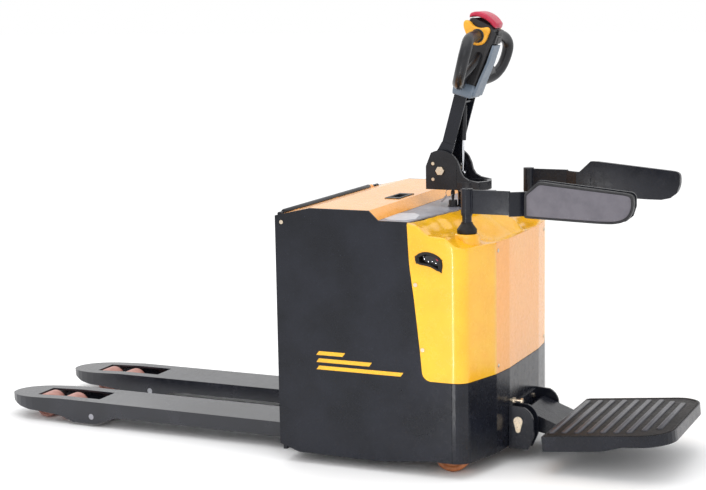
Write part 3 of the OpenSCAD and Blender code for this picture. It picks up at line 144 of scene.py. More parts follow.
# finishes, one for each slot
# colour and tone mix in broad patches, wear shows where edges are rubbed, edge is its rounding in millimetres
finishLooks = {
    "black_steel": {
        "colour": (0.006, 0.007, 0.011), "tone": (0.011, 0.0125, 0.019), "wear": (0.07, 0.07, 0.085),
        "rough": (0.2, 0.3), "mottle": 7, "grain": 700, "bump": 0.02, "edge": 1.2, "shine": 0.3,
    },
    "fork_black": {
        "colour": (0.009, 0.01, 0.015), "tone": (0.017, 0.018, 0.026), "wear": (0.12, 0.12, 0.14),
        "rough": (0.15, 0.26), "mottle": 9, "grain": 500, "bump": 0.015, "edge": 1.6, "shine": 0.6,
    },
    "black_cast": {
        "colour": (0.006, 0.0065, 0.009), "tone": (0.013, 0.0135, 0.018), "wear": (0.08, 0.08, 0.09),
        "rough": (0.24, 0.38), "mottle": 14, "grain": 420, "bump": 0.14, "edge": 2.4, "shine": 0.35,
    },
    "yellow_hood": {
        "colour": (0.86, 0.47, 0.01), "tone": (0.84, 0.4, 0.007), "wear": (0.86, 0.58, 0.12),
        "rough": (0.2, 0.3), "mottle": 5, "grain": 300, "bump": 0.008, "edge": 1.6, "coat": 0.45,
    },
    "orange_sheet": {
        "colour": (0.87, 0.36, 0.05), "tone": (0.86, 0.38, 0.065), "wear": (0.82, 0.48, 0.2),
        "rough": (0.24, 0.32), "mottle": 4, "grain": 500, "bump": 0.015, "edge": 0.9, "coat": 0.35,
    },
    "deck": {
        "colour": (0.17, 0.17, 0.2), "tone": (0.26, 0.26, 0.3), "wear": (0.4, 0.4, 0.42),
        "rough": (0.3, 0.45), "mottle": 9, "grain": 700, "bump": 0.05, "edge": 0.9,
    },
    "battery": {
        "colour": (0.09, 0.1, 0.115), "tone": (0.05, 0.055, 0.065), "wear": (0.2, 0.2, 0.21),
        "rough": (0.45, 0.6), "mottle": 12, "grain": 500, "bump": 0.08, "edge": 1.5,
    },
    "machine_grey": {
        "colour": (0.1, 0.105, 0.12), "tone": (0.06, 0.06, 0.07), "wear": (0.3, 0.3, 0.3),
        "rough": (0.35, 0.55), "mottle": 16, "grain": 380, "bump": 0.12, "edge": 1.8,
    },
    "rubber": {
        "colour": (0.009, 0.008, 0.008), "tone": (0.018, 0.015, 0.015), "wear": (0.045, 0.04, 0.04),
        "rough": (0.5, 0.7), "mottle": 18, "grain": 800, "bump": 0.1, "edge": 1.0, "shine": 0.3,
    },
    # the ribs are the same black rubber as the mat: their lighter colour and tone are painted sheen
    "ribs": {
        "colour": (0.035, 0.035, 0.045), "tone": (0.055, 0.055, 0.068), "wear": (0.1, 0.1, 0.12),
        "rough": (0.3, 0.42), "mottle": 24, "grain": 900, "bump": 0.08, "edge": 1.0,
    },
    "handle_rubber": {
        "colour": (0.006, 0.0065, 0.009), "tone": (0.012, 0.0125, 0.016), "wear": (0.04, 0.04, 0.045),
        "rough": (0.28, 0.38), "mottle": 20, "grain": 1100, "bump": 0.06, "edge": 1.5, "shine": 0.4,
    },
    "black_plastic": {
        "colour": (0.013, 0.013, 0.015), "tone": (0.022, 0.0215, 0.024), "wear": (0.07, 0.07, 0.08),
        "rough": (0.36, 0.48), "mottle": 22, "grain": 1300, "bump": 0.08, "edge": 1.6, "shine": 0.4,
    },
    "zinc": {
        "colour": (0.72, 0.6, 0.44), "tone": (0.6, 0.52, 0.42), "wear": (0.9, 0.85, 0.75),
        "metal": 1.0, "rough": (0.24, 0.42), "mottle": 60, "grain": 900, "bump": 0.06, "edge": 0.8,
    },
    "bare_steel": {
        "colour": (0.46, 0.47, 0.5), "tone": (0.36, 0.36, 0.39), "wear": (0.7, 0.7, 0.72),
        "metal": 1.0, "rough": (0.26, 0.44), "mottle": 25, "grain": 600, "bump": 0.05, "edge": 0.9,
        "stretch": (1, 1, 0.08),
    },
    "rod_chrome": {
        "colour": (0.78, 0.79, 0.82), "tone": (0.68, 0.7, 0.73), "wear": (0.9, 0.9, 0.92),
        "metal": 1.0, "rough": (0.08, 0.16), "mottle": 30, "grain": 900, "bump": 0.02, "edge": 0.5,
    },
    "sockets": {
        "colour": (0.42, 0.42, 0.46), "tone": (0.52, 0.52, 0.55), "wear": (0.7, 0.7, 0.72),
        "rough": (0.3, 0.45), "mottle": 60, "grain": 1200, "bump": 0.05, "edge": 0.7,
    },
    "urethane": {
        "colour": (0.46, 0.22, 0.18), "tone": (0.36, 0.16, 0.13), "wear": (0.6, 0.36, 0.3),
        "rough": (0.4, 0.6), "mottle": 40, "grain": 700, "bump": 0.12, "edge": 1.2,
    },
    "caster_urethane": {
        "colour": (0.46, 0.16, 0.055), "tone": (0.34, 0.11, 0.035), "wear": (0.6, 0.3, 0.14),
        "rough": (0.38, 0.6), "mottle": 40, "grain": 700, "bump": 0.12, "edge": 1.2,
    },
    "slate": {
        "colour": (0.125, 0.165, 0.215), "tone": (0.155, 0.195, 0.25), "wear": (0.3, 0.34, 0.4),
        "rough": (0.38, 0.5), "mottle": 20, "grain": 1200, "bump": 0.07, "edge": 1.4,
    },
    "throttle": {
        "colour": (0.9, 0.44, 0.03), "tone": (0.84, 0.37, 0.015), "wear": (0.95, 0.65, 0.2),
        "rough": (0.34, 0.46), "mottle": 35, "grain": 1200, "bump": 0.05, "edge": 1.6,
    },
    "red_cap": {
        "colour": (0.52, 0.018, 0.065), "tone": (0.42, 0.012, 0.045), "wear": (0.7, 0.16, 0.2),
        "rough": (0.26, 0.4), "mottle": 30, "grain": 1000, "bump": 0.05, "edge": 1.6,
    },
    "pad": {
        "colour": (0.112, 0.105, 0.125), "tone": (0.135, 0.126, 0.148), "wear": (0.2, 0.19, 0.22),
        "rough": (0.48, 0.64), "mottle": 30, "grain": 650, "bump": 0.32, "edge": 1.5, "skin": True,
    },
}
# how strongly every finish mixes: (from low, from high, to low, to high) of each reading
surface = {
    "edgeTurn": (0.95, 0.72, 0, 0.6), "rubPatches": (0.42, 0.62, 0, 1), "toneMix": (0.38, 0.62, 0, 1),
    "specks": (0.62, 0.8, 0, 0.12), "smearSpan": (0.35, 0.65), "fineRough": (0.3, 0.7, -0.04, 0.04),
    "pebbles": (0.2, 0.8, 0.7, 1), "smearScale": 6, "pebbleScale": 0.55, "relief": 0.0006, "coatRough": 0.1,
}


def makeFinish(name, look):
    material = bpy.data.materials.new(name)
    material.use_nodes = True
    tree = material.node_tree
    shader = tree.nodes["Principled BSDF"]

    def add(kind, **inputs):
        made = tree.nodes.new(kind)
        for key, value in inputs.items():
            made.inputs[key].default_value = value
        return made

    def spread(source, low, high, toLow, toHigh):
        made = add("ShaderNodeMapRange")
        for i, value in enumerate((low, high, toLow, toHigh), 1):
            made.inputs[i].default_value = value
        tree.links.new(source, made.inputs[0])
        return made.outputs[0]

    def blend(factor, first, second):
        made = tree.nodes.new("ShaderNodeMix")
        made.data_type = "RGBA"
        tree.links.new(factor, made.inputs[0])
        for i, value in ((6, first), (7, second)):
            if isinstance(value, tuple):
                made.inputs[i].default_value = (*value, 1)
            else:
                tree.links.new(value, made.inputs[i])
        return made.outputs[2]

    def multiply(first, second):
        made = tree.nodes.new("ShaderNodeMath")
        made.operation = "MULTIPLY"
        tree.links.new(first, made.inputs[0])
        tree.links.new(second, made.inputs[1])
        return made.outputs[0]

    coords = tree.nodes.new("ShaderNodeTexCoord")
    stretch = add("ShaderNodeMapping", Scale=look.get("stretch", (1, 1, 1)))
    tree.links.new(coords.outputs["Object"], stretch.inputs["Vector"])
    broad = add("ShaderNodeTexNoise", Scale=look["mottle"], Detail=5, Roughness=0.6)
    fine = add("ShaderNodeTexNoise", Scale=look["grain"], Detail=3, Roughness=0.55)
    smear = add("ShaderNodeTexNoise", Scale=look["mottle"] * surface["smearScale"], Detail=4, Roughness=0.7)
    for made in (broad, fine, smear):
        tree.links.new(stretch.outputs["Vector"], made.inputs["Vector"])

    # rounded edges catch the light, and their paint is rubbed thinner
    soft = add("ShaderNodeBevel", Radius=look["edge"] / 1000)
    soft.samples = 4
    plain = tree.nodes.new("ShaderNodeNewGeometry")
    turn = tree.nodes.new("ShaderNodeVectorMath")
    turn.operation = "DOT_PRODUCT"
    tree.links.new(soft.outputs[0], turn.inputs[0])
    tree.links.new(plain.outputs["Normal"], turn.inputs[1])
    rubbed = multiply(spread(turn.outputs["Value"], *surface["edgeTurn"]),
                      spread(smear.outputs[0], *surface["rubPatches"]))
    colour = blend(spread(broad.outputs[0], *surface["toneMix"]), look["colour"], look["tone"])
    speckled = blend(spread(fine.outputs[0], *surface["specks"]), colour, look["wear"])
    tree.links.new(blend(rubbed, speckled, look["wear"]), shader.inputs["Base Color"])

    low, high = look["rough"]
    uneven = tree.nodes.new("ShaderNodeMath")
    uneven.operation = "ADD"
    tree.links.new(spread(smear.outputs[0], *surface["smearSpan"], low, high), uneven.inputs[0])
    tree.links.new(spread(fine.outputs[0], *surface["fineRough"]), uneven.inputs[1])
    tree.links.new(uneven.outputs[0], shader.inputs["Roughness"])

    relief = fine.outputs[0]
    if look.get("skin"):  # pebbled skin
        cells = add("ShaderNodeTexVoronoi", Scale=look["grain"] * surface["pebbleScale"])
        tree.links.new(stretch.outputs["Vector"], cells.inputs["Vector"])
        relief = multiply(cells.outputs["Distance"], spread(fine.outputs[0], *surface["pebbles"]))
    bump = add("ShaderNodeBump", Strength=look["bump"], Distance=surface["relief"])
    tree.links.new(relief, bump.inputs["Height"])
    tree.links.new(soft.outputs[0], bump.inputs["Normal"])
    tree.links.new(bump.outputs[0], shader.inputs["Normal"])
    shader.inputs["Specular IOR Level"].default_value = look.get("shine", 0.5)
    shader.inputs["Metallic"].default_value = look.get("metal", 0.0)
    shader.inputs["Coat Weight"].default_value = look.get("coat", 0.0)
    shader.inputs["Coat Roughness"].default_value = surface["coatRough"]
    return material


finishes = {name: makeFinish(name, look) for name, look in finishLooks.items()}
for part in frame["record"]["subparts"]:
    carried = nodes[part["node"]]
    carried.data.materials.clear()
    carried.data.materials.append(finishes[part["material_slot"]])
for name in ("fork_near", "fork_far"):
    nodes[name].data.materials[0] = finishes["fork_black"]
print("finishes done", len(finishes))


# mesh helpers
plainSharp = 35  # degrees


def makePiece(name, body, points, faces, finishName, sharp=plainSharp, slotName=None):
    mesh = bpy.data.meshes.new(name)
    mesh.from_pydata([tuple(p) for p in points], [], faces)
    form = bmesh.new()
    form.from_mesh(mesh)
    bmesh.ops.remove_doubles(form, verts=form.verts, dist=1e-6)
    bmesh.ops.recalc_face_normals(form, faces=form.faces)
    form.to_mesh(mesh)
    form.free()
    for face in mesh.polygons:
        face.use_smooth = True
    mesh.set_sharp_from_angle(angle=math.radians(sharp))
    mesh.materials.append(finishes[finishName])
    made = bpy.data.objects.new(name, mesh)
    scene.collection.objects.link(made)
    made["rideBody"] = body
    return made


def finished(made):
    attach(made, made["rideBody"])
    return made


def settle(made):
    # applies the modifiers
    bpy.context.view_layer.update()
    graph = bpy.context.evaluated_depsgraph_get()
    mesh = bpy.data.meshes.new_from_object(made.evaluated_get(graph))
    made.modifiers.clear()
    made.data = mesh
    for face in mesh.polygons:
        face.use_smooth = True
    mesh.set_sharp_from_angle(angle=math.radians(plainSharp))
    return made


def soften(made, width, segments=3, angle=30):
    edge = made.modifiers.new("edges", "BEVEL")
    edge.width = width / 1000
    edge.segments = segments
    edge.limit_method = "ANGLE"
    edge.angle_limit = math.radians(angle)
    return made


def joined(*forms):
    points, faces = [], []
    for formPoints, formFaces in forms:
        start = len(points)
        points += list(formPoints)
        faces += [tuple(i + start for i in face) for face in formFaces]
    return points, faces


def sweep(path, radius, ring=14, closed=False, flatten=1.0, wobble=0.0):
    # a tube along a line of Vectors; radius is one value or one for each point, in millimetres
    count = len(path)
    radii = radius if isinstance(radius, list) else [radius] * count
    side = None
    points = []
    for i, centre in enumerate(path):
        ahead = path[(i + 1) % count] if closed or i < count - 1 else centre
        behind = path[i - 1] if closed or i else centre
        heading = (ahead - behind).normalized()
        if side is None:
            side = heading.orthogonal().normalized()
        side = (side - heading * side.dot(heading)).normalized()
        other = heading.cross(side)
        r = radii[i] / 1000 * (1 + random.uniform(-wobble, wobble))
        for k in range(ring):
            a = fullTurn * k / ring
            points.append(centre + side * (r * math.cos(a)) + other * (r * flatten * math.sin(a)))
    faces = []
    for i in range(count if closed else count - 1):
        for k in range(ring):
            a, b = i * ring + k, i * ring + (k + 1) % ring
            c, d = ((i + 1) % count) * ring + (k + 1) % ring, ((i + 1) % count) * ring + k
            faces.append((a, b, c, d))
    if not closed:
        faces.append(tuple(range(ring))[::-1])
        faces.append(tuple(range((count - 1) * ring, count * ring)))
    return points, faces


def lathe(profile, centre, axis="y", steps=48):
    # turned form: profile holds (radius, distance along the axis) in millimetres, centre is a Vector
    points, faces = [], []
    for k in range(steps):
        a = fullTurn * k / steps
        for r, h in profile:
            if axis == "y":
                offset = Vector((r * math.cos(a), h, r * math.sin(a)))
            else:
                offset = Vector((r * math.cos(a), r * math.sin(a), h))
            points.append(centre + offset / 1000)
    n = len(profile)
    for k in range(steps):
        for i in range(n - 1):
            a, b = k * n + i, ((k + 1) % steps) * n + i
            faces.append((a, b, b + 1, a + 1))
    return points, faces


def prism(outline, low, high, putter):
    # a flat plate: outline holds pairs, putter turns (first, second, depth) into a place
    n = len(outline)
    points = [putter(p[0], p[1], low) for p in outline] + [putter(p[0], p[1], high) for p in outline]
    faces = [tuple(range(n)), tuple(range(2 * n - 1, n - 1, -1))]
    faces += [(i, i + n, (i + 1) % n + n, (i + 1) % n) for i in range(n)]
    return points, faces


def rings(loops):
    # a closed skin through loops of equal length
    n = len(loops[0])
    points = [p for loop in loops for p in loop]
    faces = []
    for k in range(len(loops) - 1):
        for i in range(n):
            a, b = k * n + i, k * n + (i + 1) % n
            faces.append((a, b, b + n, a + n))
    faces.append(tuple(range(n))[::-1])
    faces.append(tuple(range((len(loops) - 1) * n, len(loops) * n)))
    return points, faces


# hood: top and walls in one skin, in millimetres
hood = {
    "side": 385, "rearX": 424.8, "cornerX": 560, "cornerR": 46, "cornerTurn": 73.7, "slant": -16.3,
    "facetX": 640.4, "panelY": 227.8, "frontX": 650, "frontHalf": 138.5, "shoulderY": 226.5,
    "shoulderWidth": 88, "shoulderReach": 9.6, "shoulderFacing": (0.994, -0.1),
    "bottom": 288.8, "edgeR": 7, "wall": 3.5, "panelGap": 3.3, "lip": 9, "wallBunch": 1.9,
    "sideSteps": 20, "cornerSteps": 12, "slantSteps": 9, "shoulderSteps": 8, "frontSteps": 12,
    "topSteps": 26, "edgeSteps": 5, "wallSteps": 30,
    "innerEdge": [(425.8, -380.5), (468.8, -90), (468.8, 90), (425.8, 380.5)],
    # the side wall's rear edge, (height, x)
    "seam": [(288.8, 494), (289.9, 486.8), (292.9, 480), (297.5, 474.5), (303.2, 470.3), (309.5, 467.8),
             (316.8, 466.8), (380, 461), (526, 444.8), (628, 430.8),
             (700, 426.8), (752, 424.8)],
    # height over x, for lines at growing distance from the middle
    "lines": [
        (0, [(468, 749), (520, 744), (570, 733), (609, 720), (628, 706), (638, 690), (646, 680)]),
        (34, [(468, 749), (515, 742), (555, 722), (590, 700), (620, 688), (646, 680)]),
        (130, [(462, 749), (492, 738), (520, 712), (548, 686), (582, 672), (618, 672), (645, 680)]),
        (205, [(451, 749), (478, 738), (504, 716), (536, 694), (580, 683), (640, 680)]),
        (250, [(444, 748), (468, 736), (488, 716), (530, 708), (575, 696), (605, 684), (633, 680)]),
        (310, [(435, 747), (462, 736), (486, 716), (507, 710), (541, 708), (572, 692), (600, 682),
               (615, 680)]),
        (352, [(429, 748), (456, 740), (480, 722), (496, 714), (541, 711), (560, 696), (590, 681),
               (604, 680)]),
        (385, [(424, 751), (434, 747), (456, 742), (477, 723), (492, 714), (541, 711), (553, 701),
               (571, 686), (596, 680)]),
    ],
}


def hoodHeight(x, y):
    away = abs(y)
    lines = hood["lines"]
    for (a, low), (b, high) in zip(lines, lines[1:]):
        if away <= b:
            t = (away - a) / (b - a)
            t = t * t * (3 - 2 * t)
            return along(low, x) * (1 - t) + along(high, x) * t
    return along(lines[-1][1], x)


def hoodPlan():
    # outer edge from the near rear corner to the middle of the front: (x, y, outward direction)
    side, r, gap = hood["side"], hood["cornerR"], hood["panelGap"]
    length, steps = hood["cornerX"] - hood["rearX"], hood["sideSteps"]
    made = [(hood["rearX"] + length * i / steps, -side, (0, -1)) for i in range(steps)]
    steps = hood["cornerSteps"]
    for i in range(steps + 1):
        a = math.radians(-90 + hood["cornerTurn"] * i / steps)
        facing = (math.cos(a), math.sin(a))
        made.append((hood["cornerX"] + r * facing[0], -side + r + r * facing[1], facing))
    startX, startY = made[-1][0], made[-1][1]
    slant = (math.cos(math.radians(hood["slant"])), math.sin(math.radians(hood["slant"])))
    steps = hood["slantSteps"]
    for i in range(1, steps + 1):
        t = i / steps
        made.append((startX + (hood["facetX"] - startX) * t, startY + (-hood["panelY"] - startY) * t, slant))
    steps = hood["shoulderSteps"]
    for i in range(1, steps + 1):
        t = i / steps
        made.append((hood["facetX"] - gap + hood["shoulderReach"] * t,
                     -hood["shoulderY"] + hood["shoulderWidth"] * t, hood["shoulderFacing"]))
    half, steps = hood["frontHalf"], hood["frontSteps"]
    for i in range(1, steps + 1):
        made.append((hood["frontX"] - gap, -half + half * i / steps, (1, 0)))
    return made


def hasWall(y):
    # the wall stops at the service panel
    return abs(y) >= hood["panelY"] - 0.5


def hoodForm():
    half = hoodPlan()
    plan = half + [(x, -y, (dx, -dy)) for x, y, (dx, dy) in half[-2::-1]]
    inner = evenly(hood["innerEdge"], len(plan))
    r = hood["edgeR"]
    columns = []
    for (x, y, (dx, dy)), (qx, qy) in zip(plan, inner):
        column = []
        endX, endY = x - dx * r, y - dy * r
        for i in range(hood["topSteps"] + 1):
            t = i / hood["topSteps"]
            px, py = qx + (endX - qx) * t, qy + (endY - qy) * t
            column.append((px, py, hoodHeight(px, py)))
        top = hoodHeight(endX, endY)
        for i in range(1, hood["edgeSteps"] + 1):
            a = quarterTurn * i / hood["edgeSteps"]
            out = r * math.sin(a)
            column.append((endX + dx * out, endY + dy * out, top - r * (1 - math.cos(a))))
        walled = hasWall(y)
        low = hood["bottom"] if walled else top - r - hood["lip"]
        for i in range(1, hood["wallSteps"] + 1):
            t = i / hood["wallSteps"]
            t = 1 - (1 - t) ** hood["wallBunch"] if walled else t  # rows closer together low down
            z = top - r + (low - top + r) * t
            px = x
            if abs(y) > hood["side"] - 0.01 and x <= hood["cornerX"]:
                rear = along(hood["seam"], z)
                span = hood["cornerX"] - hood["rearX"]
                px = rear + (x - hood["rearX"]) * (hood["cornerX"] - rear) / span
            column.append((px, y, z))
        columns.append(column)
    n = len(columns[0])
    points = [place(*p) for column in columns for p in column]
    faces = []
    topRows = hood["topSteps"] + hood["edgeSteps"]
    for k in range(len(columns) - 1):
        here, there = plan[k][1], plan[k + 1][1]
        step = abs(abs(here) - abs(there)) < 3 and hasWall(here) != hasWall(there)
        for i in range(n - 1):
            if step and i > topRows:
                continue
            a = k * n + i
            faces.append((a, a + n, a + n + 1, a + 1))
    return points, faces


recess = {
    "outline": [(449, 655), (477, 668), (507, 663), (533, 648), (531.5, 610), (498, 630), (453, 634)],
    "middle": (492, 646), "holeSize": 0.92, "holeDepth": (400, 360),
    "rimSize": 0.95, "rimOut": 386.5, "rimRadius": 4.2, "rimFlat": 0.75, "rimPoints": 90,
    "block": [(468, 638), (522, 624), (525, 646), (504, 657), (474, 659)], "blockDepth": (376, 366),
    "dots": [(476, 648), (488, 641), (500, 641), (511, 637)], "dotOut": 376,
    "dotProfile": [(0, 4.5), (1.8, 4), (2.6, 2), (2.6, -3)],
    "tab": [(510, 646), (521, 641), (523, 651), (513, 656)], "tabDepth": (380, 374),
}
post = {
    "x": 570, "y": 282, "hole": 15, "holeReach": 60,
    "boss": [(15.5, 712), (31, 712), (34, 711), (36, 708), (37, 700), (38, 690), (42, 676), (48, 660),
             (44, 658),
             (15.5, 690), (15.5, 712)],
}
tillerHole = {"x": 478, "radius": 44, "reach": 80}
holeLevel = 700


def onSide(x, z, y):
    return place(x, y, z)


def onHeadSide(x, z, y):
    return placeTiller(x, y, z)


def outwards(side, depths):
    # both depths on one side of the truck, the lower value first
    return sorted(side * depth for depth in depths)


def recessSized(scale):
    midX, midZ = recess["middle"]
    return [(midX + (x - midX) * scale, midZ + (z - midZ) * scale) for x, z in recess["outline"]]


def holeBar(x, y, radius, reach, steps):
    # an upright round bar that cuts a hole
    profile = [(0, -reach), (radius, -reach), (radius, reach), (0, reach)]
    return lathe(profile, place(x, y, holeLevel), "z", steps)


hoodSkin = makePiece("hoodSkin", "body", *hoodForm(), "yellow_hood", sharp=50)
shell = hoodSkin.modifiers.new("wall", "SOLIDIFY")
shell.thickness = hood["wall"] / 1000
shell.offset = -1
holes = []
for side in (-1, 1):
    holes.append(prism(recessSized(recess["holeSize"]), *outwards(side, recess["holeDepth"]), onSide))
    holes.append(holeBar(post["x"], side * post["y"], post["hole"], post["holeReach"], 24))
holes.append(holeBar(tillerHole["x"], 0, tillerHole["radius"], tillerHole["reach"], 40))
cutter = makePiece("hoodCutter", "body", *joined(*holes), "yellow_hood")
cut = hoodSkin.modifiers.new("holes", "BOOLEAN")
cut.operation = "DIFFERENCE"
cut.object = cutter
cut.solver = "EXACT"
settle(hoodSkin)
bpy.data.objects.remove(cutter)
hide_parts("hood")
finished(hoodSkin)
bosses = joined(*[lathe(post["boss"], place(post["x"], side * post["y"], 0), "z") for side in (-1, 1)])
finished(makePiece("hoodBosses", "body", *bosses, "yellow_hood", sharp=60))
print("hood done")

# side recess: rounded rim, with a block, dots and a tab inside
for side, label in ((-1, "Near"), (1, "Far")):
    rimLine = evenly(rounded(recessSized(recess["rimSize"]), 3, True), recess["rimPoints"], True)
    rim = [place(x, side * recess["rimOut"], z) for x, z in rimLine]
    rimForm = sweep(rim, recess["rimRadius"], 12, True, recess["rimFlat"])
    finished(makePiece("recessRim" + label, "body", *rimForm, "rubber"))
    block = prism(rounded(recess["block"], 1, True), *outwards(side, recess["blockDepth"]), onSide)
    finished(soften(makePiece("recessBlock" + label, "body", *block, "black_plastic"), 1.5))
    dotProfile = [(r, h * side) for r, h in recess["dotProfile"]]
    dots = [lathe(dotProfile, place(x, side * recess["dotOut"], z), "y", 20) for x, z in recess["dots"]]
    finished(makePiece("recessDots" + label, "body", *joined(*dots), "rod_chrome"))
    tab = prism(rounded(recess["tab"], 1, True), *outwards(side, recess["tabDepth"]), onSide)
    finished(soften(makePiece("recessTab" + label, "body", *tab, "red_cap"), 1.2))

# side pads: crowned faces inside a rolled rim
pad = {
    "middle": (900, 808), "half": (158, 50), "outer": 290, "inner": 263, "count": 132, "rimRows": 10,
    "faceInset": 7.6, "faceDrop": 1.2, "crown": 2.2, "rings": 12, "close": 0.97, "sag": 0.3,
    "beadInset": 1.6, "beadDrop": 4, "beadRadius": 1.9,
    # x, z and size of each rounding: the lower end away from the post is a long round
    "corners": [(745, 833, 3), (782, 867, 5), (792, 868.5, 5), (1046, 844, 16), (1059, 838, 10),
                (1061, 807, 18),
                (1052, 780, 18), (1034, 765, 16), (1006, 758, 14), (962, 757.5, 16), (745, 764.5, 3)],
}


def makePad(name, node, side):
    outline = evenly(filleted(pad["corners"]), pad["count"], True)
    cx, cz = pad["middle"]
    halfX, halfZ = pad["half"]
    low, high, inside = pad["inner"], pad["outer"], pad["faceInset"]

    def ring(inset, depth):
        # inset in millimetres from the edge, about the same all round
        row = []
        for x, z in outline:
            px = cx + (x - cx) * (1 - inset / halfX)
            pz = cz + (z - cz) * (1 - inset / halfZ)
            row.append(place(px, side * depth, pz))
        return row

    rimSteps = [(22, low), (3, low), (0.8, low + 1), (0, low + 4), (0, high - 7), (0.6, high - 4),
                (2, high - 2.4),
                (4, high - 2), (5.4, high - 2.6), (6, high - 3.6), (6.6, high - 3),
                (inside, high - pad["faceDrop"])]
    loops = [ring(inset, depth) for inset, depth in rimSteps]
    for k in range(1, pad["rings"] + 1):
        t = k / pad["rings"]
        row = []
        for x, z in outline:
            px = cx + (x - cx) * (1 - inside / halfX) * (1 - t * pad["close"])
            pz = cz + (z - cz) * (1 - inside / halfZ) * (1 - t * pad["close"])
            sag = pad["sag"] * math.sin(px * 0.05 + 1) * math.sin(pz * 0.09 + t)
            depth = high - pad["faceDrop"] + pad["crown"] * math.sin(t * quarterTurn) + sag * t
            row.append(place(px, side * depth, pz))
        loops.append(row)
    body = "side_arm_near" if side < 0 else "side_arm_far"
    made = makePiece(name, body, *rings(loops), "pad", sharp=70)
    made.data.materials.append(finishes["black_plastic"])
    edgeFaces = pad["rimRows"] * pad["count"]
    for i, face in enumerate(made.data.polygons):
        if i < edgeFaces or len(face.vertices) > 4 and abs(face.center.y) < (low + 1) / 1000:
            face.material_index = 1
    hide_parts(node)
    finished(made)
    bead = sweep(ring(pad["beadInset"], high - pad["beadDrop"]), pad["beadRadius"], 10, True)
    finished(makePiece(name + "Bead", body, *bead, "black_plastic"))


makePad("padNear", "pad_near", -1)
makePad("padFar", "pad_far", 1)
armWeld = {"x": 586.5, "y": 286.5, "bottom": 772, "step": 3.4, "beads": 20, "radius": 2.6, "wobble": 0.25}
for side, label in ((-1, "near"), (1, "far")):  # upright weld between sleeve and arm plate
    weld = [place(armWeld["x"], side * armWeld["y"], armWeld["bottom"] + armWeld["step"] * i)
            for i in range(armWeld["beads"])]
    weldForm = sweep(weld, armWeld["radius"], 8, wobble=armWeld["wobble"])
    finished(makePiece("armWeld" + label.title(), "side_arm_" + label, *weldForm, "black_steel"))
print("pads done")

# platform mat: a thin sheet with a rolled bead, and ribs across it
mat = {
    "firstRib": 18, "ribPitch": 39, "ribCount": 9, "ribHalf": 9, "ribBase": -2, "ribTop": 3.6, "ribInset": 38,
    "fullRibs": 6, "shorter": 22, "endR": 4, "endPinch": 0.6, "endSteps": 5,
    "inset": 4.6, "sheet": ((0.4, -6), (0, -3.5), (0.4, -1.8), (1.6, -1)),
    "bead": 2.6, "beadInset": 3, "beadLevel": -1.0, "beadPoints": 150,
}


def treadOutline(inset):
    half, reach = treadSettings["width"] / 2 - inset, treadSettings["length"] - inset
    r = treadSettings["corner"] - inset
    return ([(inset, -half)] + arcPoints(reach - r, -half + r, r, -90, 0, 16)
            + arcPoints(reach - r, half - r, r, 0, 90, 16) + [(inset, half)])


def ribForm(mid, reach):
    # a rib with rolled shoulders and round ends
    low, high, end, steps = mat["ribBase"], mat["ribTop"], mat["endR"], mat["endSteps"]
    loops = []
    for inset, z in ((0.0, low), (0.6, high - 2.0), (1.4, high - 0.7), (2.6, high)):
        w, r = mat["ribHalf"] - inset, end - inset * mat["endPinch"]
        near = [(mid + w * math.cos(a), -reach + end + r * math.sin(a))
                for a in [math.pi + math.pi * i / steps for i in range(steps + 1)]]
        far = [(mid + w * math.cos(a), reach - end + r * math.sin(a))
               for a in [math.pi * i / steps for i in range(steps + 1)]]
        loops.append([placeTread(x, y, z) for x, y in near + far])
    return rings(loops)


ribForms = []
for i in range(mat["ribCount"]):
    shorter = max(0, i - mat["fullRibs"]) * mat["shorter"]
    reach = treadSettings["width"] / 2 - mat["ribInset"] - shorter
    ribForms.append(ribForm(mat["firstRib"] + i * mat["ribPitch"], reach))
sheet = [[placeTread(x, y, z) for x, y in treadOutline(mat["inset"] + extra)] for extra, z in mat["sheet"]]
beadLine = evenly(treadOutline(mat["inset"] + mat["beadInset"]), mat["beadPoints"], True)
bead = [placeTread(x, y, mat["beadLevel"]) for x, y in beadLine]
platformMat = makePiece("treadMat", "platform", *joined(rings(sheet), sweep(bead, mat["bead"], 10, True)),
                        "rubber", sharp=50)
# ribs of the mat's black rubber, lightened by a painted sheen colour
finished(makePiece("treadRibs", "platform", *joined(*ribForms), "ribs", sharp=50, slotName="rubber"))
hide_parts("platform_mat")
finished(platformMat)
print("mat done")

# tiller head, in the tiller's own directions: z runs up it
grip = {
    "line": [(8, 54, 424), (9.5, 96, 423.5), (13.5, 136, 421), (21, 168, 413), (28, 187, 396), (30, 193, 374),
             (29.5, 190, 345), (27, 181, 318), (20, 158, 294), (9, 125, 282), (-4, 80, 274), (-12, 46, 268)],
    "radii": [16.5, 16.6, 17, 17.4, 17.6, 17.4, 17, 16.8, 17, 17.5, 17.5, 16], "points": 80, "ring": 24,
    "web": [(-12, 40, 256), (4, 118, 276), (18, 160, 300), (22, 112, 326), (20, 62, 350), (18, 33, 376)],
    "webEdge": ((-11, 6), (-9, 2), (-5, 0), (5, 0), (9, 2), (11, 6)),
}
gripForms = []
for side in (-1, 1):
    line = rounded([(*p, r) for p, r in zip(grip["line"], grip["radii"])], 3)
    line = evenly(line, grip["points"])
    tube = [placeTiller(x, side * y, z) for x, y, z, r in line]
    gripForms.append(sweep(tube, [p[3] for p in line], grip["ring"]))
    plate = [[placeTiller(x + off, side * (y - inset), z + (inset if i < 2 else -inset))
              for i, (x, y, z) in enumerate(grip["web"])]
             for off, inset in grip["webEdge"]]
    gripForms.append(rings(plate))
grips = makePiece("handleGrips", "tiller", *joined(*gripForms), "handle_rubber", sharp=60)
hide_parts("handle_loops")
finished(grips)

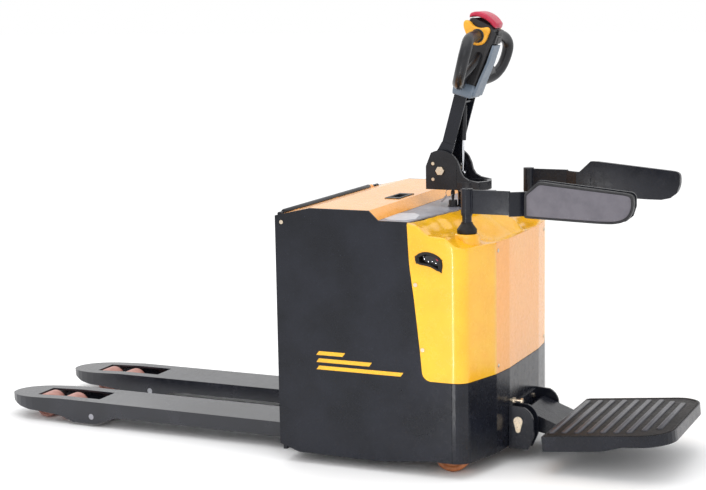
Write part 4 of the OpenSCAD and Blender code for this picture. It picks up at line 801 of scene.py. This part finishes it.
head = {
    # height up the tiller, back and front face, half width, corner radius
    "sections": [(262, -31, 31, 34, 8), (280, -34, 33, 32, 9), (310, -36, 37, 31, 10),
                 (345, -37, 41, 31.5, 11),
                 (372, -38, 44, 33, 12), (392, -38.5, 46, 36, 12), (410, -39, 50, 38, 12),
                 (438, -39, 54, 38.4, 12),
                 (452, -38.5, 51, 38.2, 12), (462, -38, 44, 37.8, 11)],
    "crown": [(-38, 466), (-26, 472), (-8, 474), (8, 472), (26, 466), (41, 456), (50, 450)],
    "collar": [(234, -29, 27, 44, 4), (238, -31, 30, 47, 6), (252, -33.5, 33, 47.5, 8), (262, -35, 34, 45, 9),
               (270, -34, 33, 39, 9), (274, -31, 30, 34, 8)],
    "middle": 2, "shoulder": 462, "crownFrom": 425, "crownRise": 37, "crownPower": 1.3,
    "topFrom": 455, "topDrop": 2.2, "closing": (0.99, 0.9, 0.6, 0.25),
}


def roundedSection(back, front, half, r, steps=6):
    corners = ((front - r, half - r), (back + r, half - r), (back + r, -half + r), (front - r, -half + r))
    made = []
    for i, (x, y) in enumerate(corners):
        made += arcPoints(x, y, r, 90 * i, 90 * (i + 1), steps)
    return made


def stacked(sections):
    loops = []
    for z, back, front, half, r in rounded(sections, 2):
        loops.append([placeTiller(x, y, z) for x, y in roundedSection(back, front, half, r)])
    return rings(loops)


loops = []
sections = rounded(head["sections"], 2)
for z, x0, x1, half, r in sections + [sections[-1]] * len(head["closing"]):
    repeat = len(loops) - len(sections)
    shrunk = head["closing"][repeat] if repeat >= 0 else 1
    rise = max(0, (z - head["crownFrom"]) / head["crownRise"]) ** head["crownPower"]
    row = []
    for x, y in roundedSection(x0, x1, half, r):
        px, py = head["middle"] + (x - head["middle"]) * shrunk, y * shrunk
        crowned = (along(head["crown"], px) - head["shoulder"]) * rise
        row.append(placeTiller(px, py, z + crowned - head["topDrop"] * (z > head["topFrom"])))
    loops.append(row)
headShell = makePiece("headShell", "tiller", *rings(loops), "black_plastic", sharp=60)
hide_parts("head_shell")
finished(headShell)
gripHub = {"x": 8, "z": 424, "reach": (34, 40, 50, 57, 59, 60), "radii": [21.8, 21.8, 21.8, 21.8, 20.8, 18.5]}
hubForms = []
for side in (-1, 1):
    hubLine = [placeTiller(gripHub["x"], side * y, gripHub["z"]) for y in gripHub["reach"]]
    hubForms.append(sweep(hubLine, gripHub["radii"], 40))
finished(makePiece("gripHubs", "tiller", *joined(*hubForms), "black_plastic", sharp=50))
pod = {
    "lowBar": [(46, 410), (56, 410), (56, 411.7), (46, 411.7)],
    "highBar": [(46, 429.9), (57, 430), (57, 437.4), (46, 437.4)],
    "cheek": [(46, 410), (56, 410), (57, 437.4), (46, 437.4)], "half": 26, "cheekDepth": (9.8, 27),
}
podForms = [prism(pod[bar], -pod["half"], pod["half"], onHeadSide) for bar in ("lowBar", "highBar")]
podForms += [prism(pod["cheek"], *outwards(side, pod["cheekDepth"]), onHeadSide) for side in (-1, 1)]
finished(soften(makePiece("switchPod", "tiller", *joined(*podForms), "black_plastic"), 1.2))
headCollar = makePiece("headCollar", "tiller", *stacked(head["collar"]), "slate", sharp=60)
finished(headCollar)

cap = {
    "low": [(-41, 466), (-37, 468), (-26, 474.2), (-8, 476.2), (8, 474.2), (26, 468), (42, 457.5), (46, 456)],
    "high": [(-41, 480), (-28, 488), (-12, 492), (8, 491), (28, 484), (47, 471)],
    "half": 37, "start": -40.5, "length": 87, "steps": 28, "pinch": 0.16, "pinchPower": 5, "corner": 6.5,
}
capLoops = []
capMiddle = cap["steps"] / 2
for i in range(cap["steps"] + 1):
    x = cap["start"] + cap["length"] * i / cap["steps"]
    low, high = along(cap["low"], x), along(rounded(cap["high"], 2), x)
    half = cap["half"] * (1 - cap["pinch"] * (abs(i - capMiddle) / capMiddle) ** cap["pinchPower"])
    section = roundedSection(low, high, half, min(cap["corner"], (high - low) * 0.48))
    capLoops.append([placeTiller(x, z, y) for y, z in section])
stopCap = makePiece("stopCap", "belly_switch", *rings(capLoops), "red_cap", sharp=60)
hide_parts("belly_button")
finished(stopCap)

wing = {
    "outline": [(-18, 402), (-30, 420), (-43, 437), (-47, 452), (-41, 460), (-30, 459), (-17, 449),
                (0, 446.5),
                (14, 449), (28, 456), (36, 454), (39, 444), (36, 430), (34, 412), (24, 399), (8, 394),
                (-8, 396)],
    # distance from the middle, and how far the edge draws in towards the hub
    "layers": ((39.5, 0.05), (40.5, 0.015), (43, 0), (53, 0), (56.5, 0.03), (58.6, 0.1), (58.8, 0.3)),
}
wingForms = []
for side in (-1, 1):
    outline = rounded(wing["outline"], 2, True)
    loops = []
    for depth, inset in wing["layers"]:
        loops.append([placeTiller(x + (gripHub["x"] - x) * inset, side * depth,
                                  z + (gripHub["z"] - z) * inset)
                      for x, z in outline])
    wingForms.append(rings(loops))
butterfly = makePiece("throttleWings", "butterfly", *joined(*wingForms), "throttle", sharp=60)
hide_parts("throttle")
finished(butterfly)
gripScrew = {"places": ((13.5, 92, 300), (-9, 88, 300)), "depth": 2.5, "radii": [4.2, 4.2, 3.2]}
screws = []
for side in (-1, 1):
    for x, y, z in gripScrew["places"]:
        centre = placeTiller(x, side * y, z)
        ahead = placeTiller(x + math.copysign(gripScrew["depth"], x), side * y, z)
        screws.append(sweep([centre, (centre + ahead) / 2, ahead], gripScrew["radii"], 16))
finished(makePiece("gripScrews", "tiller", *joined(*screws), "bare_steel"))
print("tiller head done")

# wheels: a turned tyre on its hub, with a bearing face on both sides
wheelSizes = {
    "load": {"radius": 40, "width": 70, "bore": 8.2, "hub": 14, "finish": "urethane"},
    "caster": {"radius": 57.5, "width": 42, "bore": 7.2, "hub": 15, "finish": "caster_urethane"},
    "drive": {"radius": 115, "width": 74, "bore": 18.2, "hub": 40, "finish": "urethane"},
}
wheelJobs = (
    ("load_wheel_near_front", "wheel_near_front", "load"),
    ("load_wheel_near_rear", "wheel_near_rear", "load"),
    ("load_wheel_far_front", "wheel_far_front", "load"),
    ("load_wheel_far_rear", "wheel_far_rear", "load"),
    ("caster_wheel_near", "caster_roll_near", "caster"),
    ("caster_wheel_far", "caster_roll_far", "caster"),
    ("drive_wheel", "drive_wheel_body", "drive"),
)


def wheelProfile(size):
    radius, bore, hub, w = size["radius"], size["bore"], size["hub"], size["width"] / 2
    half = [(bore, w - 2), (bore + 4, w - 1), (hub, w - 1), (hub + 1, w - 4), (radius * 0.7, w - 5),
            (radius * 0.76, w - 1), (radius * 0.8, w), (radius - 5, w), (radius - 2, w - 1.5),
            (radius - 0.6, w - 4),
            (radius, w * 0.5)]
    return half + [(r, -h) for r, h in reversed(half)]


for node, body, kind in wheelJobs:
    size = wheelSizes[kind]
    bore, hub = size["bore"], size["hub"]
    low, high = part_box(node)
    centre = (low + high) / 2
    tread = makePiece(node + ".tread", body, *lathe(wheelProfile(size), centre, "y", 64), size["finish"])
    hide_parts(node)
    finished(tread)
    bearings = []
    for side in (-1, 1):
        w = side * (size["width"] / 2 - 1)
        bearing = [(bore + 0.2, w - side * 3), (bore + 0.4, w + side * 0.2), (hub - 5, w + side * 0.4),
                   (hub - 3.5, w - side * 0.6), (hub - 1.5, w + side * 0.4), (hub, w - side * 0.4),
                   (hub, w - side * 4)]
        bearings.append(lathe(bearing, centre, "y", 40))
    finished(makePiece(node + ".bearing", body, *joined(*bearings), "bare_steel"))
print("wheels done")

# key ring with its tag
keyRing = {"at": (421, -36, 794), "radius": 0.011, "lean": 0.004, "wire": 0.9, "points": 40}
ringCentre = place(*keyRing["at"])
ringLine = []
for i in range(keyRing["points"]):
    a = fullTurn * i / keyRing["points"]
    offset = (keyRing["radius"] * math.cos(a), keyRing["lean"] * math.sin(a), keyRing["radius"] * math.sin(a))
    ringLine.append(ringCentre + Vector(offset))
finished(makePiece("keyRing", "ignition_key", *sweep(ringLine, keyRing["wire"], 8, True), "rod_chrome"))
keyTag = {"outline": [(404, 779), (411, 788), (416, 784), (409, 775), (398, 764), (394, 767)],
          "depth": (-41, -39)}
tag = prism(rounded(keyTag["outline"], 2, True), *keyTag["depth"], onSide)
finished(soften(makePiece("keyTag", "ignition_key", *tag, "bare_steel"), 0.5, 2))

# label patch without print, on the deck
deckPatch = {"corners": [(326, -356), (313, -224), (396, -198), (434, -351)], "levels": (752.05, 752.5)}
patch = prism(rounded(deckPatch["corners"], 1, True), *deckPatch["levels"], place)
finished(makePiece("deckPatch", "body", *patch, "sockets"))

# black bar along the cover's hinge edge
hingeBar = {
    "x": 12, "z": 760, "across": (-352, -351, -346, -200, 0, 200, 275, 280, 281),
    "radii": [5, 7.6, 9, 9, 9, 9, 9, 7.6, 5],
}
barLine = [place(hingeBar["x"], y, hingeBar["z"]) for y in hingeBar["across"]]
finished(makePiece("coverHingeBar", "cover", *sweep(barLine, hingeBar["radii"], 16), "black_steel"))

# plain slanted stripes on both side panels: start, end and height of each
stripes = {
    "rows": ((128, 214, 352), (128, 300, 330), (128, 400, 308)), "slant": 9, "height": 12,
    "depth": (385.05, 385.4),
}
stripeForms = []
for side in (-1, 1):
    for start, end, z in stripes["rows"]:
        low = z - stripes["height"]
        outline = [(start + stripes["slant"], z), (end + stripes["slant"], z), (end, low), (start, low)]
        stripeForms.append(prism(outline, *outwards(side, stripes["depth"]), onSide))
finished(makePiece("sideStripes", "body", *joined(*stripeForms), "yellow_hood"))

# screw heads on the service panel
panelScrew = {"x": 641.6, "y": 216, "levels": (312, 655), "depths": (0, 0.0016, 0.0028),
              "radii": [6, 5.6, 3.4]}
panelScrews = []
for z in panelScrew["levels"]:
    for y in (-panelScrew["y"], panelScrew["y"]):
        centre = place(panelScrew["x"], y, z)
        screwLine = [centre + Vector((depth, 0, 0)) for depth in panelScrew["depths"]]
        panelScrews.append(sweep(screwLine, panelScrew["radii"], 20))
finished(makePiece("panelScrews", "body", *joined(*panelScrews), "zinc"))
print("small parts done")

# floor, light and camera
floorHalf = 40
floorCorners = [(-floorHalf, -floorHalf, 0), (floorHalf, -floorHalf, 0), (floorHalf, floorHalf, 0),
                (-floorHalf, floorHalf, 0)]
floorMesh = bpy.data.meshes.new("studioFloor")
floorMesh.from_pydata(floorCorners, [], [(0, 1, 2, 3)])
floor = bpy.data.objects.new("studioFloor", floorMesh)
scene.collection.objects.link(floor)
floorMesh.materials.append(makeFinish("studioPaper", {
    "colour": (0.965, 0.965, 0.97), "tone": (0.955, 0.955, 0.96), "wear": (0.97, 0.97, 0.975),
    "rough": (0.9, 0.98),
    "mottle": 2, "grain": 200, "bump": 0.01, "edge": 0.5, "shine": 0.0}))

world = bpy.data.worlds.new("studio")
scene.world = world
world.use_nodes = True
world.node_tree.nodes["Background"].inputs["Color"].default_value = (1, 1, 1, 1)
world.node_tree.nodes["Background"].inputs["Strength"].default_value = 1.0


def areaLight(name, at, towards, size, power):
    lamp = bpy.data.lights.new(name, "AREA")
    lamp.shape = "RECTANGLE"
    lamp.size, lamp.size_y = size
    lamp.energy = power
    made = bpy.data.objects.new(name, lamp)
    scene.collection.objects.link(made)
    made.location = at
    made.rotation_euler = (Vector(towards) - Vector(at)).to_track_quat("-Z", "Y").to_euler()
    return made


lights = {
    "topLight": {"at": (0.3, -0.5, 3.6), "towards": (0.2, 0, 0.5), "size": (3.4, 2.6), "power": 26},
    "frontLight": {"at": (1.6, -4.2, 2.2), "towards": (0.3, 0, 0.5), "size": (2.6, 2.0), "power": 18},
    "cornerStrip": {"at": (bodyX + 0.458, -0.965, 0.34), "towards": (bodyX + 0.575, -0.385, 0.34),
                    "size": (0.022, 0.74), "power": 1.5},
    "rearLight": {"at": (-3.4, 2.4, 2.4), "towards": (0, 0, 0.5), "size": (2.4, 1.8), "power": 24},
}
for name, light in lights.items():
    lamp = areaLight(name, **light)
    if name == "cornerStrip":
        lamp.visible_camera = False

sunLight = {"power": 0.45, "spread": 120, "lean": (12, 8)}
haze = bpy.data.lights.new("softSun", "SUN")
haze.energy = sunLight["power"]
haze.angle = math.radians(sunLight["spread"])
softSun = bpy.data.objects.new("softSun", haze)
scene.collection.objects.link(softSun)
softSun.rotation_euler = (math.radians(sunLight["lean"][0]), math.radians(sunLight["lean"][1]), 0)

shot = {
    "at": (2188.6, -4609.4, 1421.7), "azimuth": 24.6, "elevation": 9.1, "roll": -1, "lens": 82.32,
    "sensor": 36,
}
azimuth, elevation, roll = (math.radians(shot[key]) for key in ("azimuth", "elevation", "roll"))
back = Vector((math.sin(azimuth) * math.cos(elevation), -math.cos(azimuth) * math.cos(elevation),
               math.sin(elevation)))
right = Vector((0, 0, 1)).cross(back).normalized()
up = back.cross(right)
rolledRight = right * math.cos(roll) + up * math.sin(roll)
rolledUp = up * math.cos(roll) - right * math.sin(roll)
lens = bpy.data.cameras.new("mainCamera")
lens.lens = shot["lens"]
lens.sensor_width = shot["sensor"]
camera = bpy.data.objects.new("mainCamera", lens)
scene.collection.objects.link(camera)
turned = Matrix((rolledRight, rolledUp, back)).transposed().to_4x4()
camera.matrix_world = Matrix.Translation(place(*shot["at"])) @ turned
scene.camera = camera
scene.view_settings.view_transform = "Standard"
print("studio done")
